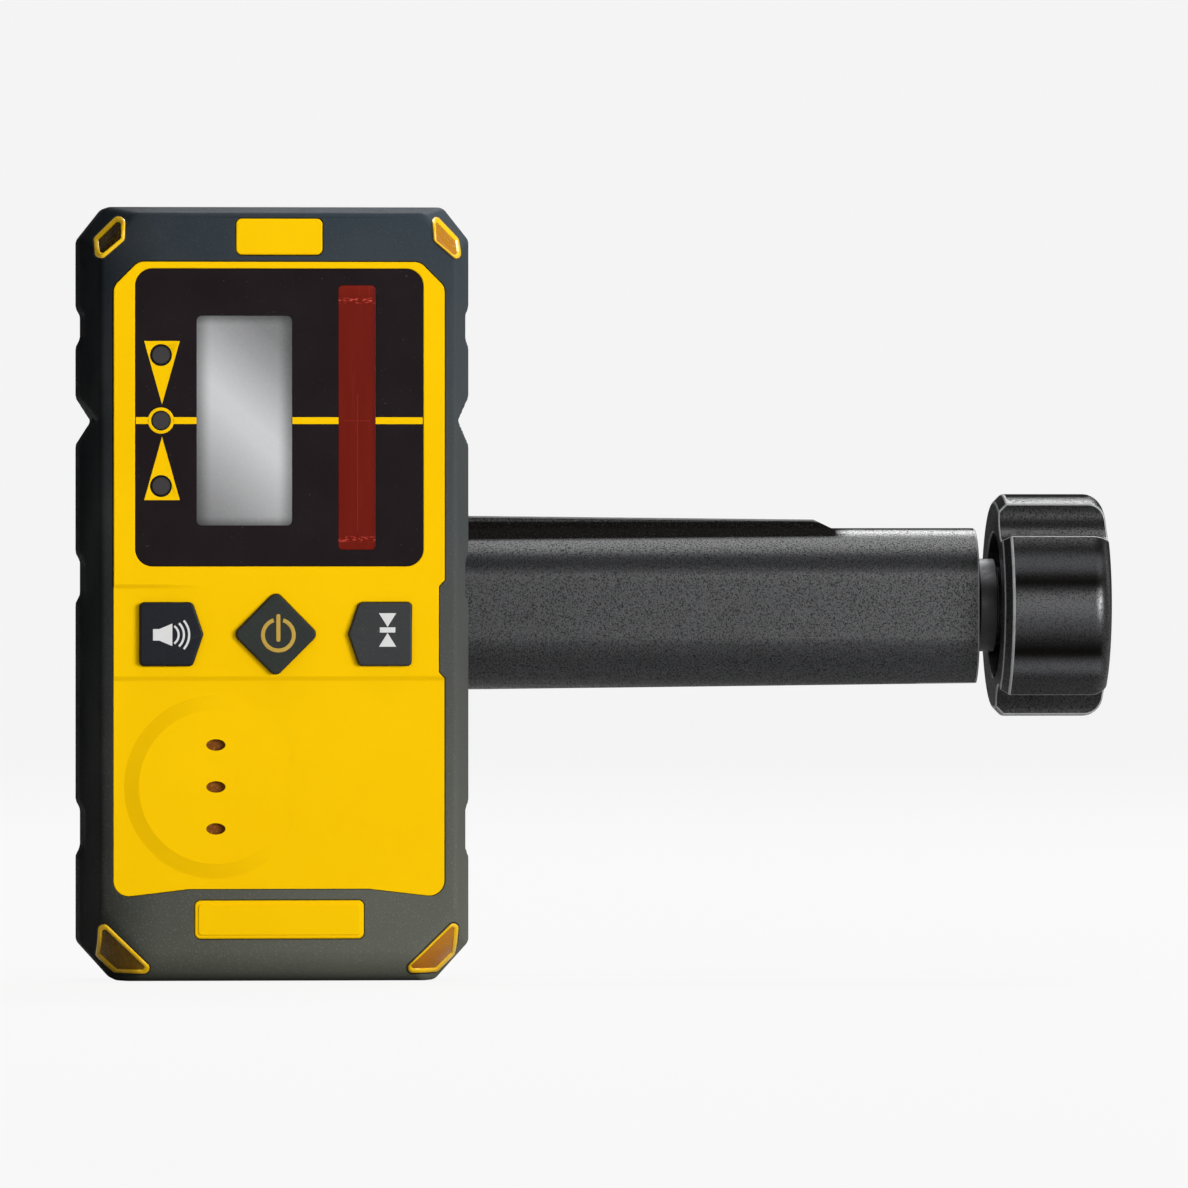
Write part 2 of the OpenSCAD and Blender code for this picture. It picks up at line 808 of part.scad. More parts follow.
module case_screws() {
    color(steel)
        at_posts() {
            rod_y(0, 0, parting_y - case_screw_bite + over,
                  rear_y - case_head_drop - parting_y + case_screw_bite - over, case_screw_d);
            rod_y(0, 0, rear_y - case_head_drop - case_head_t + seat_gap, case_head_t - seat_gap,
                  case_head_d);
        }
}

module corner_lenses() {
    color(amber)
        difference() {
            intersection() {
                corner_prisms(corner_frame_w + seat_gap, lens_r);
                front_form(lens_drop, lens_drop);
            }
            front_form(lens_drop + lens_t - seat_gap, lens_drop + lens_t - seat_gap, over);
        }
}

module display_panel() {
    color(panel_black)
        difference() {
            slab(panel_outline, panel_y, panel_t);
            slab(inset(lcd_outline, -seat_gap), panel_y - over, panel_t + 2 * over);
            slab(inset(sensor_outline, -seat_gap), panel_y - over, panel_t + 2 * over);
            for (z = lamp_z)
                rod_y(lamp_x, z, panel_y - over, panel_t + 2 * over, lamp_d + 2 * seat_gap);
        }
}

// Window, and the frame of the display behind it that carries it
window_drop = 0.15;
module lcd_window() {
    color(display_grey)
        slab(lcd_outline, panel_y + window_drop, panel_t - window_drop);
}

module lcd_module() {
    color(display_grey)
        slab(inset(lcd_outline, -module_rim), panel_y + panel_t + seat_gap,
             board_y - panel_y - panel_t - 2 * seat_gap);
}

module sensor_window() {
    color(red_filter)
        slab(sensor_outline, panel_y, panel_t);
}

module sensor_board() {
    color(board_green)
        slab(sensor_outline, board_y - sensor_board_t - seat_gap, sensor_board_t);
}

module photodiodes() {
    color(panel_black)
        for (i = [0 : diode_count - 1])
            slab(box_outline(sensor_x, panel_z + sensor_h * ((i + 1 / 2) / diode_count - 1 / 2), diode_w,
                             sensor_h / diode_count - slide_gap),
                 board_y - sensor_board_t - diode_t - 2 * seat_gap, diode_t);
}

module led_lenses() {
    color(key_grey)
        for (z = lamp_z)
            rod_y(lamp_x, z, panel_y, board_y - panel_y - seat_gap, lamp_d);
}

module main_board() {
    color(board_green)
        block([-board_half_w, board_y, board_low], [2 * board_half_w, board_t, board_top - board_low]);
}

module tact_switches() {
    color(steel)
        for (x = [key_shift - key_pitch, key_shift, key_shift + key_pitch])
            block([min(max(x, switch_w / 2 - board_half_w), board_half_w - switch_w / 2) - switch_w / 2,
                   switch_y, key_z - switch_w / 2],
                  [switch_w, switch_h, switch_w]);
}

// Key with bevelled front edges and a flange that keeps it behind the wall
module key_piece(raw, r) {
    color(key_grey) {
        hull() {
            slab(rounded(inset(raw, key_edge), r), key_y, leaf);
            slab(rounded(raw, r), key_y + key_edge, leaf);
        }
        slab(rounded(raw, r), key_y + key_edge, flange_y - key_y - key_edge + flange_t);
        slab(rounded(inset(raw, -flange_w), r), flange_y, flange_t);
    }
}

module volume_button() {
    key_piece(volume_raw, key_r);
}

module power_button() {
    key_piece(power_raw, power_r);
}

module accuracy_button() {
    key_piece(accuracy_raw, key_r);
}

module buzzer() {
    color(brass)
        rod_y(sound_x, sound_z, wall_y + seat_gap, buzzer_t, buzzer_d);
}

module battery() {
    color(clamp_grey) {
        block([-battery_w / 2, battery_y, battery_low], [battery_w, battery_t, battery_l]);
        for (side = [-1, 1])
            translate([side * stud_pitch / 2, battery_y + battery_t / 2, battery_top])
                cylinder(h = stud_h, d = stud_d);
    }
}

// Contact plate with a cup round each stud
module battery_contacts() {
    color(steel)
        difference() {
            union() {
                block([-stud_pitch, battery_y + battery_t / 2 - stud_d, battery_top + stud_h + seat_gap],
                      [2 * stud_pitch, 2 * stud_d, contact_t]);
                for (side = [-1, 1])
                    translate([side * stud_pitch / 2, battery_y + battery_t / 2, battery_top + seat_gap])
                        cylinder(h = stud_h + contact_t / 2, d = stud_d + 2 * stud_wall);
            }
            for (side = [-1, 1])
                translate([side * stud_pitch / 2, battery_y + battery_t / 2, battery_top - over])
                    cylinder(h = stud_h + over + seat_gap, d = stud_d + 2 * seat_gap);
        }
}

module battery_door() {
    color(yellow)
        difference() {
            union() {
                slab(door_outline(door_pin_z, 0), door_y, door_t);
                rod_x(-door_w / 2, door_w, door_t, door_pin_y, door_pin_z);
            }
            rod_x(-door_w / 2 - over, door_w + 2 * over, door_pin_d + 2 * run_gap, door_pin_y, door_pin_z);
            for (i = [0 : 2])
                slab(rounded(box_outline(0, door_top - door_grip_drop - i * door_grip_pitch,
                                         door_grip_w, door_grip_h), door_grip_r),
                     rear_y - door_grip_depth, door_grip_depth + over);
        }
}

module door_pin() {
    color(steel)
        rod_x(-door_w / 2 - door_pin_bite, door_w + 2 * door_pin_bite, door_pin_d, door_pin_y, door_pin_z);
}

module mount_insert() {
    color(brass)
        difference() {
            rod_y(0, mount_z, rear_y - mount_depth + seat_gap, mount_depth - seat_gap,
                  mount_d + 2 * mount_wall);
            rod_y(0, mount_z, rear_y - mount_depth - over, mount_depth + 2 * over, mount_d);
        }
}

// Thumb screw with a scalloped head
module mount_screw() {
    color(steel)
        difference() {
            union() {
                rod_y(0, mount_z, rear_y - mount_depth + mount_wall,
                      plate_y + plate_t + slide_gap - rear_y + mount_depth, mount_d - 2 * run_gap);
                rod_y(0, mount_z, plate_y + plate_t + slide_gap, thumb_t, thumb_d);
            }
            for (i = [1 : thumb_scallops])
                rotate_about(i * 360 / thumb_scallops)
                    rod_y(thumb_d / 2 + thumb_scallop_d / 4, mount_z, plate_y + plate_t + slide_gap - over,
                          thumb_t + 2 * over, thumb_scallop_d);
        }
}

// Turns its children about the mount screw's axis
module rotate_about(angle) {
    translate([0, 0, mount_z])
        rotate([0, angle, 0])
            translate([0, 0, -mount_z])
                children();
}

// Section of the arm in Y and Z, t inside its surface
arm_rear_r = 1.6;
arm_raw = [[arm_y, arm_low], [arm_rear, arm_low], [arm_rear, arm_top], [arm_y, arm_top]];
function arm_section(t) =
    rounded_each(inset(arm_raw, t), [arm_r - t, arm_rear_r, arm_rear_r, arm_r - t], wide_steps);

// Rib along the top of the arm, with a hollow fillet up to the block behind the body
rib_top = arm_top + rib_h;
rib_outline = concat(
    [[block_left, screw_z], [rib_end, screw_z], [rib_end, arm_top], [rib_end - rib_slope, rib_top]],
    [for (i = [0 : wide_steps])
        [plate_right + fillet_r - fillet_r * sin(90 * i / wide_steps),
         rib_top + rib_draft + fillet_r - fillet_r * cos(90 * i / wide_steps)]],
    [[plate_right, plate_top], [block_left, plate_top]]);
// Sloping space under the arm, from the plate to the arm's end
arm_draft_outline = [[plate_right, arm_low - over], [arm_end + over, arm_low - over],
                     [arm_end + over, arm_low + arm_draft], [plate_right, arm_low]];
plate_outline = rounded([[plate_left, arm_low], [plate_right, arm_low], [plate_right, plate_top],
                         [plate_left, plate_top]], plate_r);

// Section of a jaw behind the arm in Y and Z, from a given depth
jaw_rear = arm_rear + jaw_reach;
jaw_top = jaw_low + jaw_h;
function jaw_section(y, t) =
    rounded(inset([[y, jaw_low], [jaw_rear, jaw_low], [jaw_rear, jaw_top], [y, jaw_top]], t), jaw_r);

module clamp_bracket() {
    color(clamp_grey)
        difference() {
            union() {
                slab(plate_outline, plate_y, plate_t);
                bar(arm_section(0), block_left, arm_end - block_left);
                slab(rib_outline, rib_y, rib_t);
                block([block_left, plate_y, arm_low + arm_r],
                      [block_w, rib_y + rib_t - plate_y, plate_top - arm_low - arm_r]);
                bar(jaw_section(screw_y, 0), fixed_jaw_left, jaw_t);
            }
            slab(arm_draft_outline, arm_y - over, arm_d + 2 * over);
            bar(arm_section(arm_wall), cavity_left, cavity_right - cavity_left);
            block([slot_left, arm_rear - arm_wall - over, screw_z - slot_h / 2],
                  [slot_right - slot_left, arm_wall + 2 * over, slot_h]);
            rod_x(cavity_right - over, end_wall + 2 * over, screw_d + 2 * bush_wall + 2 * seat_gap);
            rod_x(cavity_left - tail_bite, tail_bite + over, screw_d + 2 * run_gap);
            rod_y(0, mount_z, plate_y - over, plate_t + 2 * over, mount_d + 2 * mount_clear);
        }
}

module fixed_jaw_pad() {
    color(rubber_black)
        bar(jaw_section(arm_rear + slide_gap, pad_margin), fixed_face + seat_gap, pad_t - seat_gap);
}

module moving_jaw() {
    color(clamp_grey)
        difference() {
            union() {
                bar(arm_section(arm_wall + slide_gap), carriage_left, carriage_l);
                block([moving_face, screw_y, screw_z - slot_h / 2 + slide_gap],
                      [jaw_t, arm_rear - screw_y + jaw_r, slot_h - 2 * slide_gap]);
                bar(jaw_section(arm_rear + slide_gap, 0), moving_face, jaw_t);
            }
            rod_x(carriage_left - over, carriage_l + 2 * over, nut_d + 2 * seat_gap);
        }
}

module moving_jaw_pad() {
    color(rubber_black)
        bar(jaw_section(arm_rear + slide_gap, pad_margin), moving_face - pad_t, pad_t - seat_gap);
}

module jaw_nut() {
    color(brass)
        difference() {
            rod_x(carriage_left + nut_inset, nut_l, nut_d);
            rod_x(carriage_left, carriage_l, screw_d + 2 * run_gap);
        }
}

// Lead screw with a groove for its clip
clip_x = cavity_right - clip_gap - clip_t;
module lead_screw() {
    color(steel)
        difference() {
            rod_x(cavity_left - tail_bite + over, knob_x + knob_bite - cavity_left + tail_bite - over,
                  screw_d);
            difference() {
                rod_x(clip_x - seat_gap, clip_t + 2 * seat_gap, screw_d + over);
                rod_x(clip_x - over, clip_t + 2 * over, screw_d - 2 * clip_groove);
            }
        }
}

module end_bush() {
    color(brass)
        difference() {
            rod_x(cavity_right, end_wall, screw_d + 2 * bush_wall);
            rod_x(cavity_right - over, end_wall + 2 * over, screw_d + 2 * run_gap);
        }
}

module thrust_washer() {
    color(steel)
        difference() {
            rod_x(arm_end + slide_gap, washer_t, washer_d);
            rod_x(arm_end, washer_t + 2 * over, screw_d + 2 * seat_gap);
        }
}

// Open clip that sits in the screw's groove
module retaining_clip() {
    color(steel)
        difference() {
            rod_x(clip_x, clip_t, clip_d);
            rod_x(clip_x - over, clip_t + 2 * over, screw_d - 2 * clip_groove + 2 * seat_gap);
            block([clip_x - over, screw_y, screw_z - screw_d / 2 + clip_groove],
                  [clip_t + 2 * over, clip_d, screw_d - 2 * clip_groove]);
        }
}

// Knob turned to a rounded profile, with three valleys and a hollow behind
knob_r = knob_d / 2;
knob_profile = concat(
    [[0, 0]],
    [[knob_r - knob_edge, 0], [knob_r, knob_edge]],
    arc_corner([knob_r, 0], [knob_r, knob_l - knob_dome], [0, knob_l - knob_dome],
               knob_end_edge, wide_steps),
    [for (i = [arc_steps - 1 : -1 : 0])
        [(knob_r - knob_end_edge) * i / arc_steps, knob_l - knob_dome * pow(i / arc_steps, 2)]]);
module clamp_knob() {
    color(clamp_grey)
        difference() {
            translate([knob_x, screw_y, screw_z])
                rotate([0, 90, 0])
                    rotate_extrude()
                        polygon(knob_profile);
            for (i = [0 : 2])
                let (angle = 60 - lobe_turn + 120 * i)
                rod_x(knob_x - over, knob_l + 2 * over, 2 * valley_r,
                      screw_y - (knob_r + valley_out) * cos(angle),
                      screw_z + (knob_r + valley_out) * sin(angle));
            difference() {
                rod_x(knob_x - over, knob_depth + over, 2 * (knob_r + valley_out - valley_r - knob_wall));
                rod_x(knob_x - 2 * over, knob_depth + 4 * over, hub_d);
            }
            rod_x(knob_x - over, knob_bite + over + seat_gap, screw_d + 2 * seat_gap);
        }
}

front_shell();
front_bumper();
rear_shell();
rear_bumper();
case_gasket();
case_screws();
corner_lenses();
display_panel();
lcd_window();
lcd_module();
sensor_window();
sensor_board();
photodiodes();
led_lenses();
main_board();
tact_switches();
volume_button();
power_button();
accuracy_button();
buzzer();
battery();
battery_contacts();
battery_door();
door_pin();
mount_insert();
mount_screw();
clamp_bracket();
fixed_jaw_pad();
moving_jaw();
moving_jaw_pad();
jaw_nut();
lead_screw();
end_bush();
thrust_washer();
retaining_clip();
clamp_knob();
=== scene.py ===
import json
import math

import bmesh
import bpy
from mathutils import Matrix, Vector
from mathutils.bvhtree import BVHTree

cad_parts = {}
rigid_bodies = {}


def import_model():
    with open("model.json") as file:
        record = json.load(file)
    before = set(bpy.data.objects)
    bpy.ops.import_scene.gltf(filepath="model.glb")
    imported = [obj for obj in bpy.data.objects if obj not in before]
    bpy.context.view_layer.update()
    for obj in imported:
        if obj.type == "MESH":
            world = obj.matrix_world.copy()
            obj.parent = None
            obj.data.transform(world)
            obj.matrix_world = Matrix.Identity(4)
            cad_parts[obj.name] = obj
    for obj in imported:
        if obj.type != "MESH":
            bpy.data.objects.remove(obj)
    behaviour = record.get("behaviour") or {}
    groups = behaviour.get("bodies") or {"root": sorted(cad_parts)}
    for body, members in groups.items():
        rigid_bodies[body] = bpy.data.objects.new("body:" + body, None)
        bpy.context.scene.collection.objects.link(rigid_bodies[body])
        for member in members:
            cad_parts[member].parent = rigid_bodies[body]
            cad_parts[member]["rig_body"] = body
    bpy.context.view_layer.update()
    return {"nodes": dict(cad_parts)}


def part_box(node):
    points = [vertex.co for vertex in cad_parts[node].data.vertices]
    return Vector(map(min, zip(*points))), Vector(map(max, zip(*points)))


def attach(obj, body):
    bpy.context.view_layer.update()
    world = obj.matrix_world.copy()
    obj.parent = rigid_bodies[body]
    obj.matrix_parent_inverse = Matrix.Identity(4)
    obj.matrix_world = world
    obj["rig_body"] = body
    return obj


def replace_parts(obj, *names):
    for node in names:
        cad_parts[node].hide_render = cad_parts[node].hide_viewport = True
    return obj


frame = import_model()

# Lengths below are in millimetres, angles in degrees
MM = 0.001


def at(x, y, z):
    """Point in metres from millimetres."""
    return Vector((x, y, z)) * MM


def box_mm(node):
    """Lowest and highest corner of a CAD node, in millimetres."""
    low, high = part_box(node)
    return low / MM, high / MM


def front_box(node):
    """Middle, width and height of a CAD node as seen from the front."""
    low, high = box_mm(node)
    return (low.x + high.x) / 2, (low.z + high.z) / 2, high.x - low.x, high.z - low.z


def linked(name, data):
    made = bpy.data.objects.new(name, data)
    bpy.context.scene.collection.objects.link(made)
    return made


# Node materials

# Specular level where nothing else is said
PLAIN_SHINE = 0.5
# Levels of a noise between which a surface goes from smooth to dull
GRAIN_SPAN = (0.3, 0.7)


class Look:
    """Principled material with short calls for its procedural textures."""

    def __init__(self, name, color, roughness, shine=PLAIN_SHINE):
        self.name = name
        self.material = bpy.data.materials.new(name)
        self.material.use_nodes = True
        self.tree = self.material.node_tree
        self.shader = self.tree.nodes["Principled BSDF"]
        self.place = self.node("ShaderNodeTexCoord").outputs["Object"]
        self.drive("Base Color", (*color, 1))
        self.drive("Roughness", roughness)
        self.drive("Specular IOR Level", shine)

    def feed(self, socket, value):
        """Links an output to a socket, or sets the socket to a plain value."""
        if isinstance(value, bpy.types.NodeSocket):
            self.tree.links.new(value, socket)
        else:
            socket.default_value = value

    def node(self, kind, feeds=(), **settings):
        """New node with settings, and with values or outputs fed to its sockets."""
        made = self.tree.nodes.new(kind)
        for name, value in settings.items():
            setattr(made, name, value)
        for socket, value in dict(feeds).items():
            self.feed(made.inputs[socket], value)
        return made

    def drive(self, socket, value):
        self.feed(self.shader.inputs[socket], value)

    def held(self, socket):
        """What one of the shader's sockets has now: the output linked to it, or its plain value."""
        place = self.shader.inputs[socket]
        return place.links[0].from_socket if place.is_linked else place.default_value

    def texture(self, kind, size, stretch=(1, 1, 1), **feeds):
        """Outputs of a texture whose features are about size millimetres across."""
        scale = [1 / (size * MM * s) for s in stretch]
        mapping = self.node("ShaderNodeMapping", {"Vector": self.place, "Scale": scale})
        return self.node(kind, {"Vector": mapping.outputs["Vector"], "Scale": 1, **feeds}).outputs

    def noise(self, size, detail=2, stretch=(1, 1, 1), rough=0.5):
        return self.texture("ShaderNodeTexNoise", size, stretch, Detail=detail, Roughness=rough)["Fac"]

    def cells(self, size):
        """Distance to the nearest of many scattered points."""
        return self.texture("ShaderNodeTexVoronoi", size)["Distance"]

    def span(self, value, low, high, to_low=0, to_high=1, kind="SMOOTHSTEP"):
        """Maps a value from one range to another, held at its ends."""
        feeds = {"Value": value, "From Min": low, "From Max": high, "To Min": to_low, "To Max": to_high}
        return self.node("ShaderNodeMapRange", feeds, interpolation_type=kind).outputs["Result"]

    def part(self, vector, axis):
        return self.node("ShaderNodeSeparateXYZ", {"Vector": vector}).outputs[axis]

    def along(self, axis, low, high):
        """Position along an axis, 0 at low and 1 at high millimetres."""
        return self.span(self.part(self.place, axis), low * MM, high * MM, kind="LINEAR")

    def facing(self, axis, normal="True Normal"):
        """Part of the face's normal along an axis."""
        return self.part(self.node("ShaderNodeNewGeometry").outputs[normal], axis)

    def math(self, operation, a, b=0.0):
        return self.node("ShaderNodeMath", {0: a, 1: b}, operation=operation).outputs["Value"]

    def times(self, a, b):
        return self.math("MULTIPLY", a, b)

    def plus(self, a, b):
        return self.math("ADD", a, b)

    def off(self, value, middle=0.5):
        """How far a value is from a middle one."""
        return self.math("ABSOLUTE", self.math("SUBTRACT", value, middle))

    def near(self, axis, centre, half):
        """1 at a place along an axis, falling to 0 half millimetres away."""
        return self.span(self.off(self.along(axis, centre - half, centre + half)), 0, 0.5, 1, 0)

    def ramp(self, value, *stops):
        """Colours at places along a value."""
        made = self.node("ShaderNodeValToRGB", {"Fac": value})
        elements = made.color_ramp.elements
        while len(elements) < len(stops):
            elements.new(0.5)
        for element, (place, color) in zip(elements, stops):
            element.position = place
            element.color = (*color, 1)
        return made.outputs["Color"]

    def mix(self, share, a, b):
        """Colour b over colour a by a share."""
        made = self.node("ShaderNodeMix", {"Factor": share}, data_type="RGBA")
        colors = [s for s in made.inputs if s.type == "RGBA"]
        for socket, value in zip(colors, (a, b)):
            self.feed(socket, value if isinstance(value, bpy.types.NodeSocket) else (*value, 1))
        return [s for s in made.outputs if s.type == "RGBA"][0]

    def relief(self, height, strength, depth):
        """Bumps of the given depth in millimetres."""
        feeds = {"Height": height, "Strength": strength, "Distance": depth * MM}
        self.drive("Normal", self.node("ShaderNodeBump", feeds).outputs["Normal"])

    def surface(self, color, grain, smooth, dull):
        """Colour, and a roughness that follows a grain."""
        self.drive("Base Color", color)
        self.drive("Roughness", self.span(grain, *GRAIN_SPAN, smooth, dull))


def grained(name, color, speck, size, roughness, depth, speck_share, shine=PLAIN_SHINE):
    """Moulded surface with a grain of small light specks."""
    look = Look(name, color, roughness, shine)
    fine = look.noise(size, detail=3, rough=0.65)
    broad = look.noise(size * 40)
    ground = look.ramp(broad, (0.3, [c * 0.86 for c in color]), (0.7, color))
    specks = look.span(fine, 0.53, 0.72, 0, speck_share)
    look.surface(look.mix(specks, ground, speck), fine, roughness - 0.08, roughness + 0.08)
    look.relief(fine, 0.6, depth)
    return look


def key_look(name, color, speck, roughness=0.5):
    return grained(name, color, speck, size=0.3, roughness=roughness, depth=0.025, speck_share=0.3, shine=0.2)


SKIN_TOP = 148
SKIN_HALF_W = 38
SKIN_COLOR = (0.04, 0.043, 0.042)
SKIN_LOW_TONE = (0.121, 0.127, 0.1)
SKIN_MID_TONE = (0.076, 0.079, 0.073)
SKIN_HIGH_TONE = (0.033, 0.046, 0.059)
# Near-black of the painted shade on the skin's left side
SKIN_LEFT_PAINTED_SHADE = (0.003, 0.0036, 0.0046)
SKIN_WORN_TONE = (0.075, 0.078, 0.074)
SKIN_SPECK_TONE = (0.26, 0.265, 0.25)


def skin_look():
    """Soft overmould: cooler and darker at the top, warmer and paler near the base, with painted shade that
    darkens it from the left.
    """
    look = Look("grip_skin", SKIN_COLOR, roughness=0.6, shine=0.07)
    height = look.along("Z", 0, SKIN_TOP)
    across = look.along("X", -SKIN_HALF_W, SKIN_HALF_W)
    ground = look.ramp(height, (0.0, SKIN_LOW_TONE), (0.4, SKIN_MID_TONE), (1.0, SKIN_HIGH_TONE))
    # Painted shade: strongest at the left edge and fading out towards the right
    left = look.plus(look.span(across, 0, 0.2, 0.6, 0, "LINEAR"), look.span(across, 0, 0.85, 0.4, 0))
    shaded = look.mix(left, ground, SKIN_LEFT_PAINTED_SHADE)
    fine = look.noise(0.32, detail=3, rough=0.7)
    wear_and_reflection = look.mix(look.span(look.noise(16), 0.35, 0.75, 0, 0.14), shaded, SKIN_WORN_TONE)
    dots = look.span(look.cells(0.6), 0.26, 0.12, 0, 0.3)
    dense = look.math("MAXIMUM", look.span(fine, 0.54, 0.74, 0, 0.3), dots)
    spread = look.times(look.span(height, 0, 0.9, 1, 0.2), look.span(across, 0, 0.25, 0.2, 1))
    look.surface(look.mix(look.times(dense, spread), wear_and_reflection, SKIN_SPECK_TONE), fine, 0.52, 0.7)
    look.drive("Specular IOR Level", look.span(across, 0, 0.25, 0.02, 0.07))
    look.relief(fine, 0.5, 0.05)
    return look


# Middle of the three sound holes, and radius of the low ring round them
SOUND = (-12.1, 37.25)
RING_R = 17.6
YELLOW = (0.96, 0.57, 0.001)
YELLOW_DEEP = (0.94, 0.555, 0.0005)
YELLOW_PALE = (0.975, 0.585, 0.001)
RING_PAINTED_SHADE = (0.3, 0.16, 0.001)
# Tone of the painted shade on yellow faces that look downward
YELLOW_PAINTED_SHADE = (0.3, 0.14, 0.0005)
YELLOW_EDGE = (0.03, 0.033, 0.032)


def yellow_look(name, roughness=0.45, shine=0.02, ring=False, land=None):
    """Satin moulded plastic with a faint mottle.

    The ring has painted shade, darkest at its lower left and fading out towards the right. A land gives the
    half width that is yellow.
    """
    look = Look(name, YELLOW, roughness, shine)
    fine = look.noise(0.3)
    color = look.ramp(look.noise(22, detail=3), (0.25, YELLOW_DEEP), (0.75, YELLOW_PALE))
    if ring:
        across = look.along("X", SOUND[0] - RING_R, SOUND[0] + RING_R)
        up = look.along("Z", SOUND[1] - RING_R, SOUND[1] + RING_R)
        lean = look.plus(look.times(across, 0.75), look.times(up, 0.25))
        # Painted shade on the ring, fading out towards the upper right
        color = look.mix(look.span(lean, 0.38, 0.72, 0.12, 0), color, RING_PAINTED_SHADE)
    if land:
        color = look.mix(look.span(look.off(look.along("X", -land, land)), 0.49, 0.5), color, YELLOW_EDGE)
    # Painted shade on faces that look downward, such as the walls of the steps
    below = look.span(look.facing("Z"), -0.06, -0.36, 0, 0.16)
    look.surface(look.mix(below, color, YELLOW_PAINTED_SHADE), fine, roughness - 0.05, roughness + 0.06)
    look.relief(fine, 0.1, 0.02)
    return look


CLAMP_COLOR = (0.014, 0.0145, 0.0165)
CLAMP_DARK = (0.011, 0.0113, 0.0135)
CLAMP_PALE = (0.015, 0.0155, 0.0185)
CLAMP_PIT = (0.003, 0.003, 0.003)
CLAMP_SPECK = (0.15, 0.152, 0.158)
CLAMP_DUST = (0.042, 0.042, 0.043)
CLAMP_GLOSS = 0.9
CLAMP_SPECKS = 0.45


def clamp_look(name, gloss=CLAMP_GLOSS, specks=CLAMP_SPECKS, shade=1):
    """Dark moulding with a dense fine grain: glossy between many dull pits, and a few pale specks.

    Flat tops are dull with dust.
    """
    look = Look(name, CLAMP_COLOR, roughness=0.32, shine=0.85)
    fine = look.noise(0.3, detail=3, rough=0.75)
    tones = [[c * shade for c in tone] for tone in (CLAMP_DARK, CLAMP_PALE)]
    ground = look.ramp(look.noise(14), (0.3, tones[0]), (0.7, tones[1]))
    pits = look.span(fine, 0.52, 0.4)
    pitted = look.mix(pits, ground, CLAMP_PIT)
    color = look.mix(look.span(fine, 0.58, 0.74, 0, specks), pitted, CLAMP_SPECK)
    dust = look.span(look.facing("Z", "Normal"), 0.9, 0.98)
    shine = look.times(look.span(pits, 0, 1, gloss, 0.3 * gloss), look.math("SUBTRACT", 1.0, dust))
    look.drive("Base Color", look.mix(look.times(dust, 0.7), color, CLAMP_DUST))
    look.drive("Specular IOR Level", shine)
    look.drive("Roughness", look.span(pits, 0, 1, 0.3, 0.55))
    look.relief(fine, 0.5, 0.05)
    return look


# Painted shade on the strip of the arm where its front meets its rib: its heights, its run, and its ends,
# each from the clear to the dark side
CREASE_HEIGHTS = (80, 90)
CREASE_RUN = (37, 113)
CREASE_RISE = 0.06
CREASE_ENDS = (("X", 114, 110), ("X", 36.5, 37.5), ("Y", 30, 28))
CREASE_SHADE_DARK = (0.007, 0.0062, 0.0056)
CREASE_SHADE_PALE = (0.03, 0.029, 0.028)


def creased(look):
    """Paints shade on the strip where the arm's front meets its rib, and takes its shine away."""
    height = look.along("Z", *CREASE_HEIGHTS)
    slope = look.times(look.along("X", *CREASE_RUN), CREASE_RISE)
    above = look.span(look.math("SUBTRACT", height, slope), 0.35, 0.47)
    dark = look.times(above, look.span(height, 0.74, 0.8, 1, 0.45))
    for end in CREASE_ENDS:
        dark = look.times(dark, look.along(*end))
    grain = look.span(look.noise(0.3, detail=3, rough=0.75), 0.5, 0.7)
    # Painted shade: a dark grainy tone and no shine along the strip
    crease_shade = look.mix(grain, CREASE_SHADE_DARK, CREASE_SHADE_PALE)
    look.drive("Base Color", look.mix(dark, look.held("Base Color"), crease_shade))
    shine = look.times(look.span(dark, 0, 0.9, 1, 0), look.held("Specular IOR Level"))
    look.drive("Specular IOR Level", shine)
    return look


# Painted reflection bands on the knob's lobes, bright and dark: height of the middle, half width, and how
# pale or how dull
PAINTED_HIGHLIGHT_BANDS = ((59.9, 2.4, 0.8), (70.3, 5.5, 0.35), (79.8, 2.8, 0.65))
PAINTED_DARK_BANDS = ((62.8, 4, 0.92), (76.1, 3, 0.92), (82.7, 2, 0.45))
BAND_LEVEL = 0.52
BAND_GAIN = 0.42
REFLECTION_DARK = (0.003, 0.0027, 0.0022)
REFLECTION_PALE = (0.066, 0.067, 0.073)


def banded(look):
    """Paints reflection bands along the knob's lobe: bright painted highlights between dark bands, in colour
    and in shine.
    """
    side = look.span(look.math("ABSOLUTE", look.facing("X", "Normal")), 0.3, 0.7, 1, 0)
    level, pale = BAND_LEVEL, 0.0
    for centre, half, share in PAINTED_HIGHLIGHT_BANDS:
        near = look.times(look.near("Z", centre, half), side)
        level = look.plus(level, look.times(near, BAND_GAIN))
        pale = look.plus(pale, look.times(near, share))
    for centre, half, share in PAINTED_DARK_BANDS:
        near = look.times(look.near("Z", centre, half), side)
        level = look.times(level, look.span(near, 0, 1, 1, 1 - share, "LINEAR"))
    grain = look.times(pale, look.span(look.noise(0.35, detail=3, rough=0.75), 0.36, 0.6, 0.5, 1))
    # Painted reflection: the lobe's colour and shine follow the bands
    wear_and_reflection = look.mix(level, REFLECTION_DARK, look.held("Base Color"))
    look.drive("Base Color", look.mix(grain, wear_and_reflection, REFLECTION_PALE))
    look.drive("Specular IOR Level", look.times(look.held("Specular IOR Level"), level))
    return look


DUST_GREY = (0.3, 0.3, 0.29)
# Pale grey of the painted highlight on the clamp's rounded edges
EDGE_HIGHLIGHT_GREY = (0.26, 0.262, 0.266)


